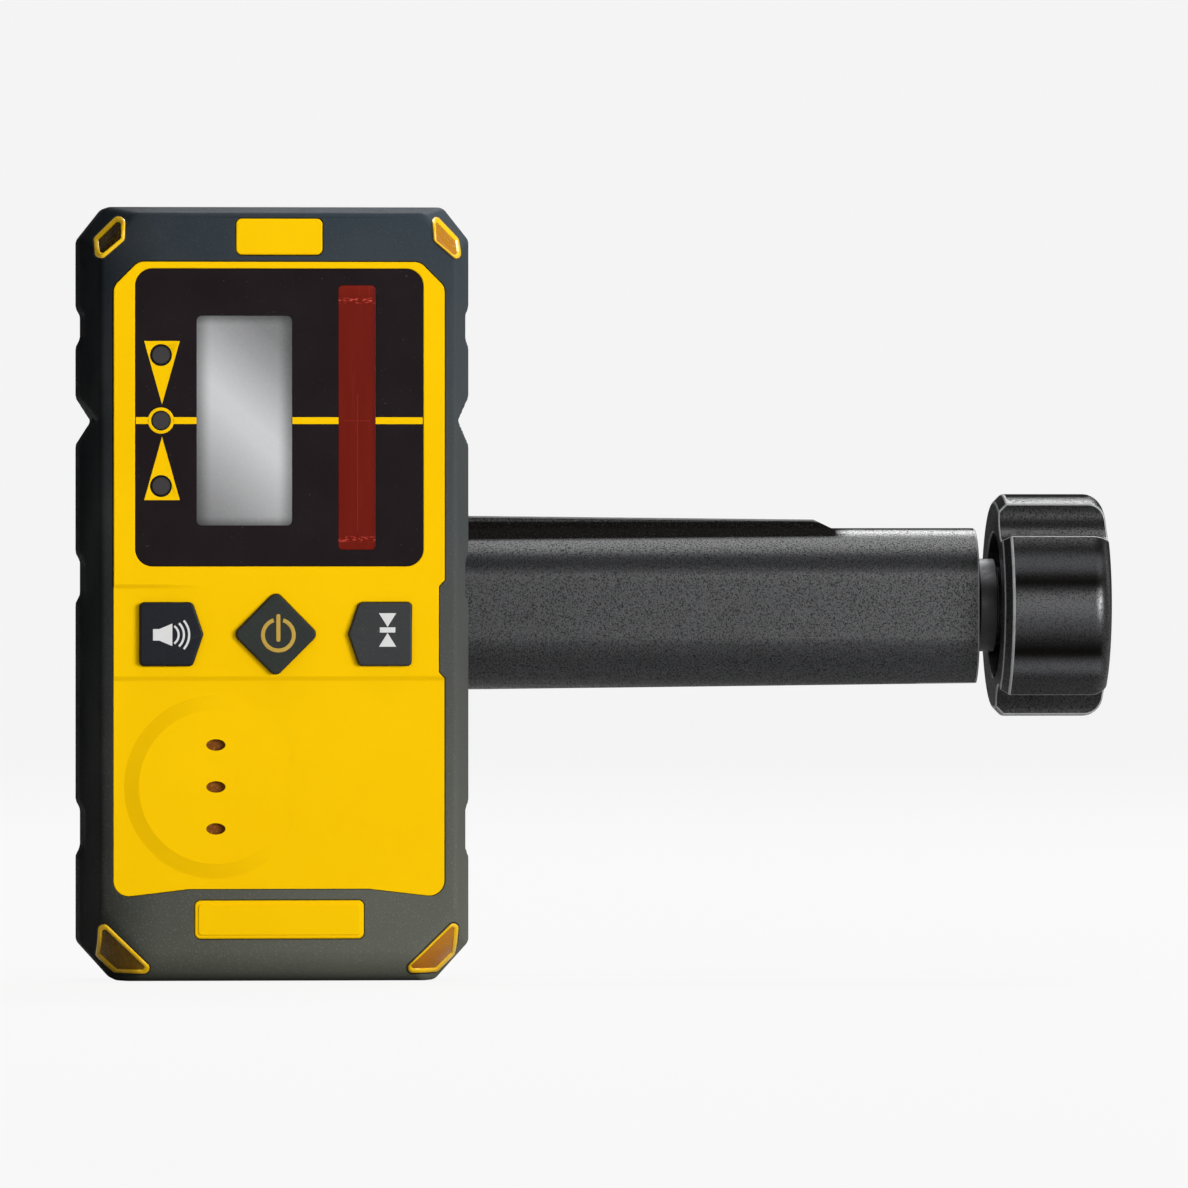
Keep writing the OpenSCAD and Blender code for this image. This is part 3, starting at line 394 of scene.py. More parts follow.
def smooth_look(name, color, roughness, variation=0.12, size=9, shine=PLAIN_SHINE):
    """Smooth moulding with a faint mottle, fine dust and hair scratches."""
    look = Look(name, color, roughness, shine)
    pale = [min(c * (1 + variation) + 0.002, 1) for c in color]
    ground = look.ramp(look.noise(size, detail=3), (0.3, color), (0.75, pale))
    dust = look.span(look.noise(0.5), 0.72, 0.8, 0, 0.18)
    look.drive("Base Color", look.mix(dust, ground, DUST_GREY))
    hair = look.noise(0.6, stretch=(1, 1, 18))
    look.drive("Roughness", look.span(hair, 0.35, 0.75, roughness, roughness + 0.1))
    look.relief(look.noise(1.2), 0.05, 0.02)
    return look


def edge_look(name):
    """Edge of a clamp piece, pale with a painted highlight."""
    return smooth_look(name, EDGE_HIGHLIGHT_GREY, roughness=0.4, variation=0.3, size=2)


def metal_look(name, color, roughness):
    """Bright metal with fine tool marks and a dull bloom."""
    look = Look(name, color, roughness)
    look.drive("Metallic", 1.0)
    marks = look.noise(0.35, detail=3)
    ground = look.ramp(look.noise(7, detail=3), (0.35, [c * 0.8 for c in color]), (0.7, color))
    look.surface(ground, marks, roughness - 0.07, roughness + 0.1)
    look.relief(marks, 0.2, 0.01)
    return look


# Grey levels along the display's painted reflection, a slanting pale band, and how far the band leans
DISPLAY_REFLECTION_LEVELS = ((0.0, 0.17), (0.15, 0.28), (0.29, 0.41), (0.4, 0.525), (0.46, 0.59), (0.53, 0.6),
                  (0.6, 0.52), (0.75, 0.33), (0.87, 0.22), (1.0, 0.17))
DISPLAY_REFLECTION_LEAN = 0.4
DISPLAY_RIM = (0.03, 0.03, 0.03)
DISPLAY_GREY = (0.4, 0.4, 0.41)


def display_look():
    """Grey display under its window: dim rim and a painted reflection, a pale band from upper left to lower
    right.
    """
    low, high = box_mm("lcd_window")
    look = Look("display_glass", DISPLAY_GREY, roughness=0.25, shine=0.15)
    across = look.along("X", low.x, high.x)
    up = look.along("Z", low.z, high.z)
    # Painted reflection: a pale band leaning across the display
    band = look.math("DIVIDE", look.plus(up, look.times(across, DISPLAY_REFLECTION_LEAN)), 1 + DISPLAY_REFLECTION_LEAN)
    ground = look.ramp(band, *[(place, (v, v * 1.01, v * 1.025)) for place, v in DISPLAY_REFLECTION_LEVELS])
    side = look.span(look.off(across), 0.33, 0.51, 1, 0.38)
    end = look.span(look.off(up), 0.45, 0.505, 1, 0.4)
    look.surface(look.mix(look.times(side, end), DISPLAY_RIM, ground), look.noise(0.6), 0.2, 0.3)
    return look


# Heights of the two rows of glints, as shares of the red window
GLINT_SHARES = (0.04, 0.942)
GLINT = (0.62, 0.07, 0.05)
RED_HEAD = (0.26, 0.016, 0.008)
RED_SHADE = (0.07, 0.004, 0.005)


def filter_look(name, color):
    """Dark red filter with a paler head, faint flow lines and a row of small glints near each end."""
    low, high = box_mm("sensor_window")
    look = Look(name, color, roughness=0.2, shine=0.08)
    flow = look.noise(1.2, detail=3, stretch=(1, 1, 14))
    ground = look.ramp(flow, (0.3, [c * 0.95 for c in color]), (0.7, [c * 1.06 for c in color]))
    up = look.along("Z", low.z, high.z)
    paler = look.mix(look.span(up, 0.94, 0.99, 0, 0.25), ground, RED_HEAD)
    edge = look.span(look.along("X", low.x, high.x), 0.88, 1, 0, 0.4)
    shaded = look.mix(edge, paler, RED_SHADE)
    rows = [look.span(look.off(up, place), 0.014, 0.005) for place in GLINT_SHARES]
    sparks = look.span(look.noise(0.55, detail=3, stretch=(1.6, 1, 0.7)), 0.5, 0.62, 0, 0.75)
    glint = look.times(look.math("MAXIMUM", *rows), sparks)
    look.surface(look.mix(glint, shaded, GLINT), flow, 0.16, 0.28)
    return look


AMBER = (0.45, 0.155, 0.007)
# Amber at the left of the body in painted shade, and at the right in painted light, each at its low and its
# high tone
AMBER_LEFT_PAINTED_SHADE = ((0.014, 0.007, 0.0006), (0.22, 0.112, 0.005))
AMBER_RIGHT_PAINTED_LIGHT = ((0.5, 0.21, 0.012), (0.36, 0.12, 0.006))
AMBER_TURN = 12
AMBER_FALL = (12, 2)


def amber_look():
    """Amber corner windows: deep brown in painted shade at the left of the body, bright with painted light at
    the right.
    """
    look = Look("amber", AMBER, roughness=0.25, shine=0.3)
    streaks = look.noise(0.5, detail=3, stretch=(1, 1, 6))
    fall = look.times(look.along("Z", *AMBER_FALL), 0.6)
    tone = look.plus(fall, look.times(look.plus(streaks, look.noise(2.6)), 0.3))
    # Painted light: windows on the right lit bright, those on the left in painted shade
    sides = [look.ramp(tone, (0.25, low), (0.85, high)) for low, high in (AMBER_LEFT_PAINTED_SHADE, AMBER_RIGHT_PAINTED_LIGHT)]
    look.surface(look.mix(look.along("X", -AMBER_TURN, AMBER_TURN), *sides), streaks, 0.18, 0.3)
    return look


BOARD_GREEN = (0.012, 0.1, 0.04)
TRACK_GREEN = (0.03, 0.19, 0.08)


def board_look():
    """Circuit board with paler tracks."""
    look = Look("circuit_board", BOARD_GREEN, roughness=0.4)
    tracks = look.noise(2.4, detail=0, stretch=(1, 1, 6))
    stops = ((0.47, BOARD_GREEN), (0.5, TRACK_GREEN), (0.55, BOARD_GREEN))
    look.drive("Base Color", look.ramp(tracks, *stops))
    look.relief(tracks, 0.3, 0.03)
    return look


# Half width of the rear shell that shows yellow
SHELL_LAND = 31
LOOKS = {made.name: made for made in (
    yellow_look("case_yellow"),
    yellow_look("yellow_print"),
    yellow_look("ring_yellow", ring=True),
    yellow_look("frame_yellow", 0.3, 0.5),
    yellow_look("shell_yellow", land=SHELL_LAND),
    skin_look(),
    amber_look(),
    display_look(),
    filter_look("red_filter", (0.152, 0.0085, 0.003)),
    filter_look("red_line", (0.26, 0.022, 0.012)),
    board_look(),
    metal_look("steel", (0.62, 0.63, 0.65), 0.3),
    metal_look("dark_steel", (0.1, 0.1, 0.105), 0.45),
    metal_look("brass", (0.74, 0.52, 0.2), 0.28),
    smooth_look("seal", (0.006, 0.006, 0.006), 0.7),
    smooth_look("panel_black", (0.0128, 0.0088, 0.01), 0.36, shine=0.03),
    smooth_look("display_body", (0.2, 0.2, 0.205), 0.5),
    smooth_look("chip_black", (0.01, 0.01, 0.011), 0.45),
    smooth_look("lamp_lens", (0.045, 0.041, 0.042), 0.4, shine=0.1),
    smooth_look("battery_case", (0.02, 0.021, 0.024), 0.35),
    smooth_look("white_print", (0.68, 0.68, 0.68), 0.5, 0.06, shine=0.1),
    smooth_look("gold_print", (0.48, 0.315, 0.055), 0.5, 0.1, shine=0.1),
    key_look("key_grey", (0.034, 0.036, 0.037), (0.09, 0.093, 0.095)),
    key_look("dark_key", (0.006, 0.008, 0.013), (0.03, 0.034, 0.04), 0.42),
    key_look("power_key", (0.021, 0.026, 0.0225), (0.07, 0.078, 0.074)),
    grained("thumb_black", (0.02, 0.02, 0.021), (0.08, 0.08, 0.082), 0.4, 0.5, 0.05, 0.4),
    grained("pad_rubber", (0.014, 0.014, 0.014), (0.05, 0.05, 0.05), 0.6, 0.75, 0.05, 0.4),
    grained("bronze_gauze", (0.2, 0.062, 0.006), (0.6, 0.28, 0.04), 0.45, 0.6, 0.15, 0.5, 0.1),
    clamp_look("clamp_grey"),
    creased(clamp_look("arm_grey")),
    banded(clamp_look("knob_grey", 1.0, 0.35, 1.2)),
    edge_look("clamp_edge"),
    creased(edge_look("arm_edge")),
)}

# CAD nodes shown with rounded edges: node, look, width of the rounding, look of the edge
ROUNDED_NODES = [
    ("led_lenses", "lamp_lens", 0.3, "seal"),
    ("moving_jaw", "clamp_grey", 0.4, "clamp_edge"),
    ("fixed_jaw_pad", "pad_rubber", 0.4, None),
    ("moving_jaw_pad", "pad_rubber", 0.4, None),
    ("clamp_bracket", "arm_grey", 0.35, "arm_edge"),
    ("clamp_knob", "knob_grey", 0.3, "clamp_edge"),
    ("mount_screw", "thumb_black", 0.5, None),
    ("thrust_washer", "dark_steel", 0.2, None),
]
# CAD nodes shown as they are
PLAIN_NODES = {
    "case_gasket": "seal", "case_screws": "steel", "lcd_module": "display_body", "buzzer": "chip_black",
    "sensor_board": "circuit_board", "photodiodes": "chip_black", "main_board": "circuit_board",
    "tact_switches": "steel", "battery": "battery_case", "battery_contacts": "steel", "door_pin": "steel",
    "mount_insert": "brass", "jaw_nut": "brass", "end_bush": "brass", "retaining_clip": "steel",
    "battery_door": "case_yellow", "rear_shell": "shell_yellow",
}

# Outlines: points are (across, up)


def rounded(points, radii, steps=8, straight=1):
    """Outline with each corner replaced by an arc, and its straight stretches cut into equal parts."""
    arcs = []
    count = len(points)
    for i, radius in enumerate(radii):
        before, corner, after = (Vector(points[(i + k) % count]) for k in (-1, 0, 1))
        u = (before - corner).normalized()
        v = (after - corner).normalized()
        half = u.angle(v) / 2
        centre = corner + (u + v).normalized() * radius / math.sin(half)
        first = corner + u * radius / math.tan(half) - centre
        last = corner + v * radius / math.tan(half) - centre
        ways = [(first * (steps - k) + last * k).normalized() for k in range(steps + 1)]
        arcs.append([centre + way * radius for way in ways])
    made = []
    for i, arc in enumerate(arcs):
        made += arc
        made += [arc[-1].lerp(arcs[(i + 1) % count][0], k / straight) for k in range(1, straight)]
    return made


def grown(points, distance):
    """Outline with each side moved outward by a distance, or each by its own from a list."""
    count = len(points)
    moves = distance if isinstance(distance, list) else [distance] * count
    area = sum(Vector(points[i - 1]).to_3d().cross(Vector(points[i]).to_3d()).z for i in range(count))
    turn = math.copysign(1, area)
    made = []
    for i in range(count):
        before, corner, after = (Vector(points[(i + k) % count]) for k in (-1, 0, 1))
        u = (corner - before).normalized() * turn
        v = (after - corner).normalized() * turn
        first, second = Vector((u.y, -u.x)), Vector((v.y, -v.x))
        together = first.dot(second)
        move = (first + second) * (moves[i - 1] + moves[i]) / 2 / (1 + together)
        if moves[i - 1] != moves[i]:
            move += (first - second) * (moves[i - 1] - moves[i]) / 2 / (1 - together)
        made.append(corner + move)
    return made


def box_outline(x, z, w, h):
    return [(x - w / 2, z - h / 2), (x + w / 2, z - h / 2), (x + w / 2, z + h / 2), (x - w / 2, z + h / 2)]


def round_box(x, z, w, h, radius, steps=8):
    return rounded(box_outline(x, z, w, h), [radius] * 4, steps)


def circle(x, z, radius, steps=40, start=0, turn=360):
    """Points round a circle, or along an arc of it."""
    last = steps if turn == 360 else steps + 1
    return [(x + radius * math.cos(math.radians(start + turn * i / steps)),
             z + radius * math.sin(math.radians(start + turn * i / steps))) for i in range(last)]


def oval(x, z, w, h, steps=32):
    return [(x + w / 2 * math.cos(math.tau * i / steps), z + h / 2 * math.sin(math.tau * i / steps))
            for i in range(steps)]


def arc_band(x, z, radius, width, start, turn, steps=24):
    """Outline of an arc-shaped stroke with square ends."""
    outer = circle(x, z, radius + width / 2, steps, start, turn)
    inner = circle(x, z, radius - width / 2, steps, start, turn)
    return outer + inner[::-1]


def on_plane(points, y):
    """Points of an outline at a depth."""
    return [(p[0], y, p[1]) for p in points]


# Meshes

# Points closer than this are joined
WELD = 0.004
# Faces that meet flatter than this are joined before their edges are rounded
FLAT_ANGLE = 0.6
# Edges sharper than this are rounded
ROUND_ANGLE = 30
ROUND_STEPS = 3
PLATE_EDGE_STEPS = 3
SHARP_ANGLE = 35


def shown(name, mesh, look, body="receiver", sharp=SHARP_ANGLE, second=None):
    """New piece with smooth shading between its sharp edges, riding on a body."""
    piece = linked(name, mesh)
    mesh.materials.append(LOOKS[look].material)
    if second:
        mesh.materials.append(LOOKS[second].material)
    mesh.shade_smooth()
    mesh.set_sharp_from_angle(angle=math.radians(sharp))
    normals = piece.modifiers.new("even_shading", "WEIGHTED_NORMAL")
    normals.keep_sharp = True
    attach(piece, body)
    return piece


def finished(bm, name):
    """Mesh from a bmesh, welded, with its normals outward."""
    bmesh.ops.remove_doubles(bm, verts=bm.verts, dist=WELD * MM)
    bmesh.ops.recalc_face_normals(bm, faces=bm.faces)
    mesh = bpy.data.meshes.new(name)
    bm.to_mesh(mesh)
    bm.free()
    return mesh


def evaluated(made):
    """Mesh of an object with its modifiers applied."""
    return bpy.data.meshes.new_from_object(made.evaluated_get(bpy.context.evaluated_depsgraph_get()))


def plate_mesh(name, outline, front, depth, rounding, holes=()):
    """Plate with rounded edges, seen from the front: outline and holes in X and Z."""
    curve = bpy.data.curves.new(name, "CURVE")
    curve.dimensions = "2D"
    curve.fill_mode = "BOTH"
    curve.extrude = depth / 2 - rounding
    curve.bevel_depth = rounding
    curve.bevel_resolution = PLATE_EDGE_STEPS
    curve.offset = -rounding
    for loop in (outline, *holes):
        spline = curve.splines.new("POLY")
        spline.points.add(len(loop) - 1)
        spline.use_cyclic_u = True
        for point, (x, z) in zip(spline.points, loop):
            point.co = (x, z, 0, 1)
    drawn = linked(name, curve)
    mesh = evaluated(drawn)
    bpy.data.objects.remove(drawn)
    bpy.data.curves.remove(curve)
    stand = Matrix.Translation((0, front + depth / 2, 0)) @ Matrix.Rotation(math.radians(90), 4, "X")
    mesh.transform(Matrix.Scale(MM, 4) @ stand)
    bm = bmesh.new()
    bm.from_mesh(mesh)
    bpy.data.meshes.remove(mesh)
    return finished(bm, name)


def plate(name, outline, front, depth, rounding, look, body="receiver", holes=()):
    return shown(name, plate_mesh(name, outline, front, depth, rounding, holes), look, body)


def cut(mesh, cutter):
    """Mesh with the cutter's space taken out of it."""
    target = linked("target", mesh)
    tool = linked("tool", cutter)
    change = target.modifiers.new("cut", "BOOLEAN")
    change.operation = "DIFFERENCE"
    change.solver = "EXACT"
    change.object = tool
    result = evaluated(target)
    bpy.data.objects.remove(target)
    bpy.data.objects.remove(tool)
    result.materials.clear()
    return result


class Loft:
    """Surface built ring by ring, with filled ends."""

    def __init__(self):
        self.bm = bmesh.new()

    def ring(self, points):
        """Loop of points in millimetres."""
        return [self.bm.verts.new(at(*p)) for p in points]

    def bridge(self, *rings, paint=0):
        for a, b in zip(rings, rings[1:]):
            for i in range(len(a)):
                j = (i + 1) % len(a)
                self.bm.faces.new((a[i], a[j], b[j], b[i])).material_index = paint

    def fill(self, *loops):
        """Flat face between an outer loop and the loops of its holes."""
        edges = []
        for loop in loops:
            for i in range(len(loop)):
                pair = (loop[i - 1], loop[i])
                edges.append(self.bm.edges.get(pair) or self.bm.edges.new(pair))
        bmesh.ops.triangle_fill(self.bm, edges=edges, use_beauty=True, use_dissolve=False)

    def caps(self, rings):
        """Fills the first and the last ring."""
        self.fill(rings[0])
        self.fill(rings[-1])

    def mesh(self, name):
        return finished(self.bm, name)


def body_of_node(node):
    return frame["nodes"][node]["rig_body"]


def softened(node, look, width, edge):
    """Copy of a CAD node with rounded edges, in place of the node."""
    bm = bmesh.new()
    bm.from_mesh(frame["nodes"][node].data)
    bmesh.ops.remove_doubles(bm, verts=bm.verts, dist=WELD * MM)
    bmesh.ops.dissolve_limit(bm, angle_limit=math.radians(FLAT_ANGLE), verts=bm.verts, edges=bm.edges)
    for face in bm.faces:
        face.material_index = 0
    sharp = math.radians(ROUND_ANGLE)
    edges = [e for e in bm.edges if len(e.link_faces) == 2 and e.calc_face_angle(0) > sharp]
    bmesh.ops.bevel(bm, geom=edges, offset=width * MM, segments=ROUND_STEPS, profile=0.5, affect="EDGES",
                    clamp_overlap=False, offset_type="OFFSET", material=1 if edge else -1)
    mesh = finished(bm, node + "_form")
    piece = shown(node + "_form", mesh, look, body_of_node(node), second=edge)
    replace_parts(piece, node)


def dress(node, look):
    """Material for a CAD node that keeps its own mesh."""
    for place in frame["nodes"][node].material_slots:
        place.material = LOOKS[look].material


# Housing: tapered front, straight waist, rear that tapers in

SKIN_BOX = box_mm("front_bumper")
HALF_W = SKIN_BOX[1].x
HEIGHT = SKIN_BOX[1].z
FRONT_Y = SKIN_BOX[0].y
PARTING_Y = SKIN_BOX[1].y
REAR_Y = box_mm("rear_bumper")[1].y
SHOULDER_Y = -1.3
REAR_SHOULDER_Y = 12.6
SIDE_TAPER = 3.2
BASE_RISE = 5
BASE_CURVE = 5
TOP_DROP = 1.3
LOW_CUT = (6.6, 7.3)
HIGH_CUT = (5, 6.3)
FRONT_CUT_EXTRA = 1.6
REAR_TAPER = 2.4
TAPER_STEPS = 20
OUTLINE_R = 2
OUTLINE_STEPS = 5
EDGE_R = 0.9
REAR_EDGE_R = 0.45
EDGE_STEPS = 4
HOLE_GAP = 0.12
HOLE_R = 0.2
SEAM_T = 5
SEAM_DEPTH = 0.4
SEAM_W = 0.35
INNER_T = 0.45
SKIN_FACE_T = 1.2
SKIN_SHARP_ANGLE = 40
# Corners of the outline after which a side runs, and the parts that a side is cut into
SIDE_CORNERS = (0, 4)
SIDE_STEPS = 170
# Grip recesses: middle and half height as shares of the housing's height
GRIP_SHARES = ((0.845, 0.02), (0.52, 0.027), (0.196, 0.03))
GRIP_DEPTH = 0.9
GRIP_SLOPE = 2.2
# Reference notches, at the height of the centre line
LINE_Z = 107.05
NOTCH_DEPTH = 3.05
NOTCH_H = 9
# Opening in the rear skin
LAND_HALF_W = 29
LAND_LOW = 3.4
LAND_TOP = 142
LAND_CUT = (6, 6)


def mixed(a, b, share):
    return a + (b - a) * share


def smooth_step(value):
    value = max(0, min(1, value))
    return value * value * (3 - 2 * value)


def quarter_turn(steps):
    """Sine and cosine at equal steps of a quarter turn."""
    angles = [math.radians(90) * k / steps for k in range(steps + 1)]
    return [(math.sin(angle), math.cos(angle)) for angle in angles]


def cut_corners(side, low, high, low_cut, high_cut):
    """Outline of a box with its corners cut, anticlockwise from the lower right."""
    return [(side, low + low_cut[1]), (side, high - high_cut[1]), (side - high_cut[0], high),
            (high_cut[0] - side, high), (-side, high - high_cut[1]), (-side, low + low_cut[1]),
            (low_cut[0] - side, low), (side - low_cut[0], low)]


def front_corners(taper):
    """Corners of the front half's outline, from its face (0) to its widest place (1)."""
    extra = FRONT_CUT_EXTRA * (1 - taper)
    low = BASE_RISE * (1 - taper) ** BASE_CURVE
    return cut_corners(HALF_W - SIDE_TAPER * (1 - taper), low, HEIGHT - TOP_DROP * (1 - taper),
                       [c + extra for c in LOW_CUT], [c + extra for c in HIGH_CUT])


def rear_corners(taper):
    """Corners of the rear half's outline, from its face (0) to its widest place (1)."""
    drop = REAR_TAPER * (1 - taper)
    return cut_corners(HALF_W - drop, drop, HEIGHT - drop, LOW_CUT, HIGH_CUT)


def half_width_at(z):
    """Half width left by the grip recesses and the reference notches at a height."""
    depth = NOTCH_DEPTH * max(0, 1 - abs(z - LINE_Z) / (NOTCH_H / 2))
    for middle, half in GRIP_SHARES:
        inside = (half * HEIGHT - abs(z - middle * HEIGHT)) / GRIP_SLOPE + 0.5
        depth = max(depth, GRIP_DEPTH * smooth_step(inside))
    return HALF_W - depth


def housing_ring(corners, shrink, y, reliefs=True):
    """Ring of the housing with many points along its sides."""
    outline = rounded(grown(corners, -shrink), [OUTLINE_R] * len(corners), OUTLINE_STEPS)
    per_corner = len(outline) // len(corners)
    made = []
    for i in range(len(corners)):
        arc = outline[i * per_corner:(i + 1) * per_corner]
        made += [tuple(p) for p in arc]
        if i in SIDE_CORNERS:
            start, end = arc[-1], outline[(i + 1) * per_corner]
            made += [tuple(start.lerp(end, k / SIDE_STEPS)) for k in range(1, SIDE_STEPS)]
    if reliefs:
        made = [(math.copysign(min(abs(x), half_width_at(z) - shrink), x), z) for x, z in made]
    return on_plane(made, y)


def rim(loft, outline, face_y, inward):
    """Rounded mouth of a hole in a face: returns its first and last ring."""
    rings = []
    for sine, cosine in quarter_turn(EDGE_STEPS):
        spread = HOLE_GAP + HOLE_R * (1 - sine)
        rings.append(loft.ring(on_plane(grown(outline, spread), face_y + inward * HOLE_R * (1 - cosine))))
    rings.append(loft.ring(on_plane(grown(outline, HOLE_GAP), face_y + inward * SKIN_FACE_T)))
    loft.bridge(*rings)
    return rings[0], rings[-1]


def half_housing(name, corners_at, face_y, shoulder_y, edge_r, holes):
    """Overmoulded skin of one half: face with holes, rounded edge, sides, seam, and the same inside."""
    loft = Loft()
    inward = 1 if PARTING_Y > face_y else -1
    reach = abs(shoulder_y - face_y)
    outer = []
    for sine, cosine in quarter_turn(EDGE_STEPS):
        depth = edge_r * (1 - cosine)
        outer.append(housing_ring(corners_at(depth / reach), edge_r * (1 - sine), face_y + inward * depth))
    for k in range(1, TAPER_STEPS + 1):
        taper = mixed(edge_r / reach, 1, k / TAPER_STEPS)
        outer.append(housing_ring(corners_at(taper), 0, mixed(face_y, shoulder_y, taper)))
    outer.append(housing_ring(corners_at(1), 0, PARTING_Y - inward * SEAM_W))
    outer.append(housing_ring(corners_at(1), SEAM_DEPTH, PARTING_Y))
    outer.append(housing_ring(corners_at(1), SEAM_T, PARTING_Y, False))
    outer.append(housing_ring(corners_at(0), INNER_T, face_y + inward * SKIN_FACE_T, False))
    rings = [loft.ring(points) for points in outer]
    loft.bridge(*rings)
    mouths = [rim(loft, outline, face_y, inward) for outline in holes]
    loft.fill(rings[0], *[m[0] for m in mouths])
    loft.fill(rings[-1], *[m[1] for m in mouths])
    return loft.mesh(name)


# Faceplate with two steps: a band across the keys, and the lower part below it

FACE_Y = -15.4
FACE_T = 2
FACE_EDGE_R = 0.16
FACE_HALF_W = 31.6
FACE_TOP = 137.3
FACE_LOW = 17.8
FACE_DIP = 1.7
FACE_MID = 17.2
FACE_CUT = 4.7
FACE_RADII = (2.9, 3, 3, 2.9, 0.5, 0.5, 0.5, 0.5, 2.6, 2.6, 2.6, 2.6)
FACE_SHARP_ANGLE = 4
EDGE_NOTCH = 1.1
BAND_LOW = 57.9
BAND_HIGH = 75.5
BAND_DEPTH = 0.32
LOW_DEPTH = 0.64
STEP_W = 1.25
STEP_POINTS = 8
STEP_FADE = (-30, -8)
STEP_SLICE = 2
# How far the cut above the steps stays before the face, and how far its ends overrun
STEP_CLEAR = -0.04
TOOL_OVER = 1
PANEL_R = 3.3
PANEL_STEPS = 12
PANEL_GAP = 0.05


def face_outline():
    """Faceplate with cut upper corners, a foot that dips at its sides and a notch beside the keys."""
    side = FACE_HALF_W
    inset = side - EDGE_NOTCH
    foot = FACE_LOW - FACE_DIP
    points = [(-side, foot), (-FACE_MID, FACE_LOW), (FACE_MID, FACE_LOW), (side, foot), (side, BAND_LOW),
              (inset, BAND_LOW + EDGE_NOTCH), (inset, BAND_HIGH), (side, BAND_HIGH + EDGE_NOTCH),
              (side, FACE_TOP - FACE_CUT), (side - FACE_CUT, FACE_TOP), (FACE_CUT - side, FACE_TOP),
              (-side, FACE_TOP - FACE_CUT)]
    return rounded(points, FACE_RADII)


def panel_outline():
    return round_box(*front_box("display_panel"), PANEL_R, PANEL_STEPS)


def step_points(z, low_depth, high_depth):
    """Soft step between two depths of the face, from its lower to its upper end."""
    made = []
    for k in range(STEP_POINTS + 1):
        share = k / STEP_POINTS
        made.append((mixed(low_depth, high_depth, smooth_step(share)), z + (share - 0.5) * STEP_W))
    return made


def terrace_tool():
    """Space before the stepped face: the step above the keys fades out, the one below them runs across."""
    loft = Loft()
    reach = FACE_HALF_W + TOOL_OVER
    below = FACE_LOW - FACE_DIP - TOOL_OVER
    start, end = STEP_FADE
    rings = []
    for x in (-reach, *range(start, end, STEP_SLICE), end, reach):
        fade = smooth_step((x - start) / (end - start))
        profile = [(LOW_DEPTH, below)]
        profile += step_points(BAND_LOW, LOW_DEPTH, BAND_DEPTH)
        profile += step_points(BAND_HIGH, mixed(BAND_DEPTH, STEP_CLEAR, fade), STEP_CLEAR)
        profile += [(-TOOL_OVER, BAND_HIGH + STEP_W), (-TOOL_OVER, below)]
        rings.append(loft.ring([(x, FACE_Y + depth, z) for depth, z in profile]))
    loft.bridge(*rings)
    loft.caps(rings)
    return loft.mesh("terrace_tool")


# Keys: a square on its corner, and on each side of it one with a point

KEYS = {"volume_button": "dark_key", "power_button": "power_key", "accuracy_button": "key_grey"}
POWER_HALF = 8.15
POWER_R = 1.3
KEY_SIZE = 12.1
KEY_TIP = 2.07
KEY_RADII = (0.9, 1, 0.8, 1, 0.9)
KEY_PITCH = 19.9
KEY_SHIFT = -0.7
KEY_GAP = 0.1
KEY_T = 3
KEY_EDGE_R = 0.35


def key_outline(node):
    """Outline of a key's stem, inside the flange that its box includes."""
    x, z, *_ = front_box(node)
    if node == "power_button":
        corners = [(x, z - POWER_HALF), (x + POWER_HALF, z), (x, z + POWER_HALF), (x - POWER_HALF, z)]
        return rounded(corners, [POWER_R] * 4)
    side = 1 if node == "volume_button" else -1
    x = KEY_SHIFT - side * KEY_PITCH
    half = KEY_SIZE / 2
    neck = half - KEY_TIP
    corners = [(-half, -half), (neck, -half), (half, 0), (neck, half), (-half, half)]
    return rounded([(x + side * across, z + up) for across, up in corners], KEY_RADII)


def keys():
    for node, look in KEYS.items():
        front = box_mm(node)[0].y
        cap = plate(node + "_cap", key_outline(node), front, KEY_T, KEY_EDGE_R, look, body_of_node(node))
        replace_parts(cap, node)


# Sound holes in their low ring

SOUND_PITCH = 8
SOUND_HOLE = (3.7, 2.2)
RING_W = 2.9
RING_RISE = 0.42
RING_STEPS = 96
DISC_SINK = 0.01
GAUZE_SIZE = (7, 22)
GAUZE_R = 1
GAUZE_T = 0.3
GAUZE_LIFT = 0.1
GAUZE_EDGE_R = 0.05


def sound_ovals():
    return [oval(SOUND[0], SOUND[1] + i * SOUND_PITCH, *SOUND_HOLE) for i in (-1, 0, 1)]


def sound_disc():
    """Low disc round the sound holes that stands proud at its left and runs into the face at its right."""
    level = FACE_Y + LOW_DEPTH
    front_y = level + DISC_SINK
    back_y = level + FACE_T / 2
    inner_r = RING_R - RING_W
    loft = Loft()

    def lifted(points):
        rise = [RING_RISE * (0.5 - 0.5 * (x - SOUND[0]) / inner_r) for x, z in points]
        return loft.ring([(x, front_y - up, z) for (x, z), up in zip(points, rise)])

    edge = circle(*SOUND, RING_R, RING_STEPS)
    outer = loft.ring(on_plane(edge, front_y))
    inner = lifted(circle(*SOUND, inner_r, RING_STEPS))
    mouths = [lifted(points) for points in sound_ovals()]
    back = loft.ring(on_plane(edge, back_y))
    throats = [loft.ring(on_plane(points, back_y)) for points in sound_ovals()]
    loft.bridge(outer, inner, paint=1)
    loft.bridge(outer, back)
    for mouth, throat in zip(mouths, throats):
        loft.bridge(mouth, throat)
    loft.fill(inner, *mouths)
    loft.fill(back, *throats)
    shown("sound_disc", loft.mesh("sound_disc"), "case_yellow", sharp=FACE_SHARP_ANGLE, second="ring_yellow")
    gauze = round_box(*SOUND, *GAUZE_SIZE, GAUZE_R)
    plate("sound_gauze", gauze, back_y - GAUZE_LIFT, GAUZE_T, GAUZE_EDGE_R, "bronze_gauze")


# Inserts above and below the faceplate: (across, up, width, height)

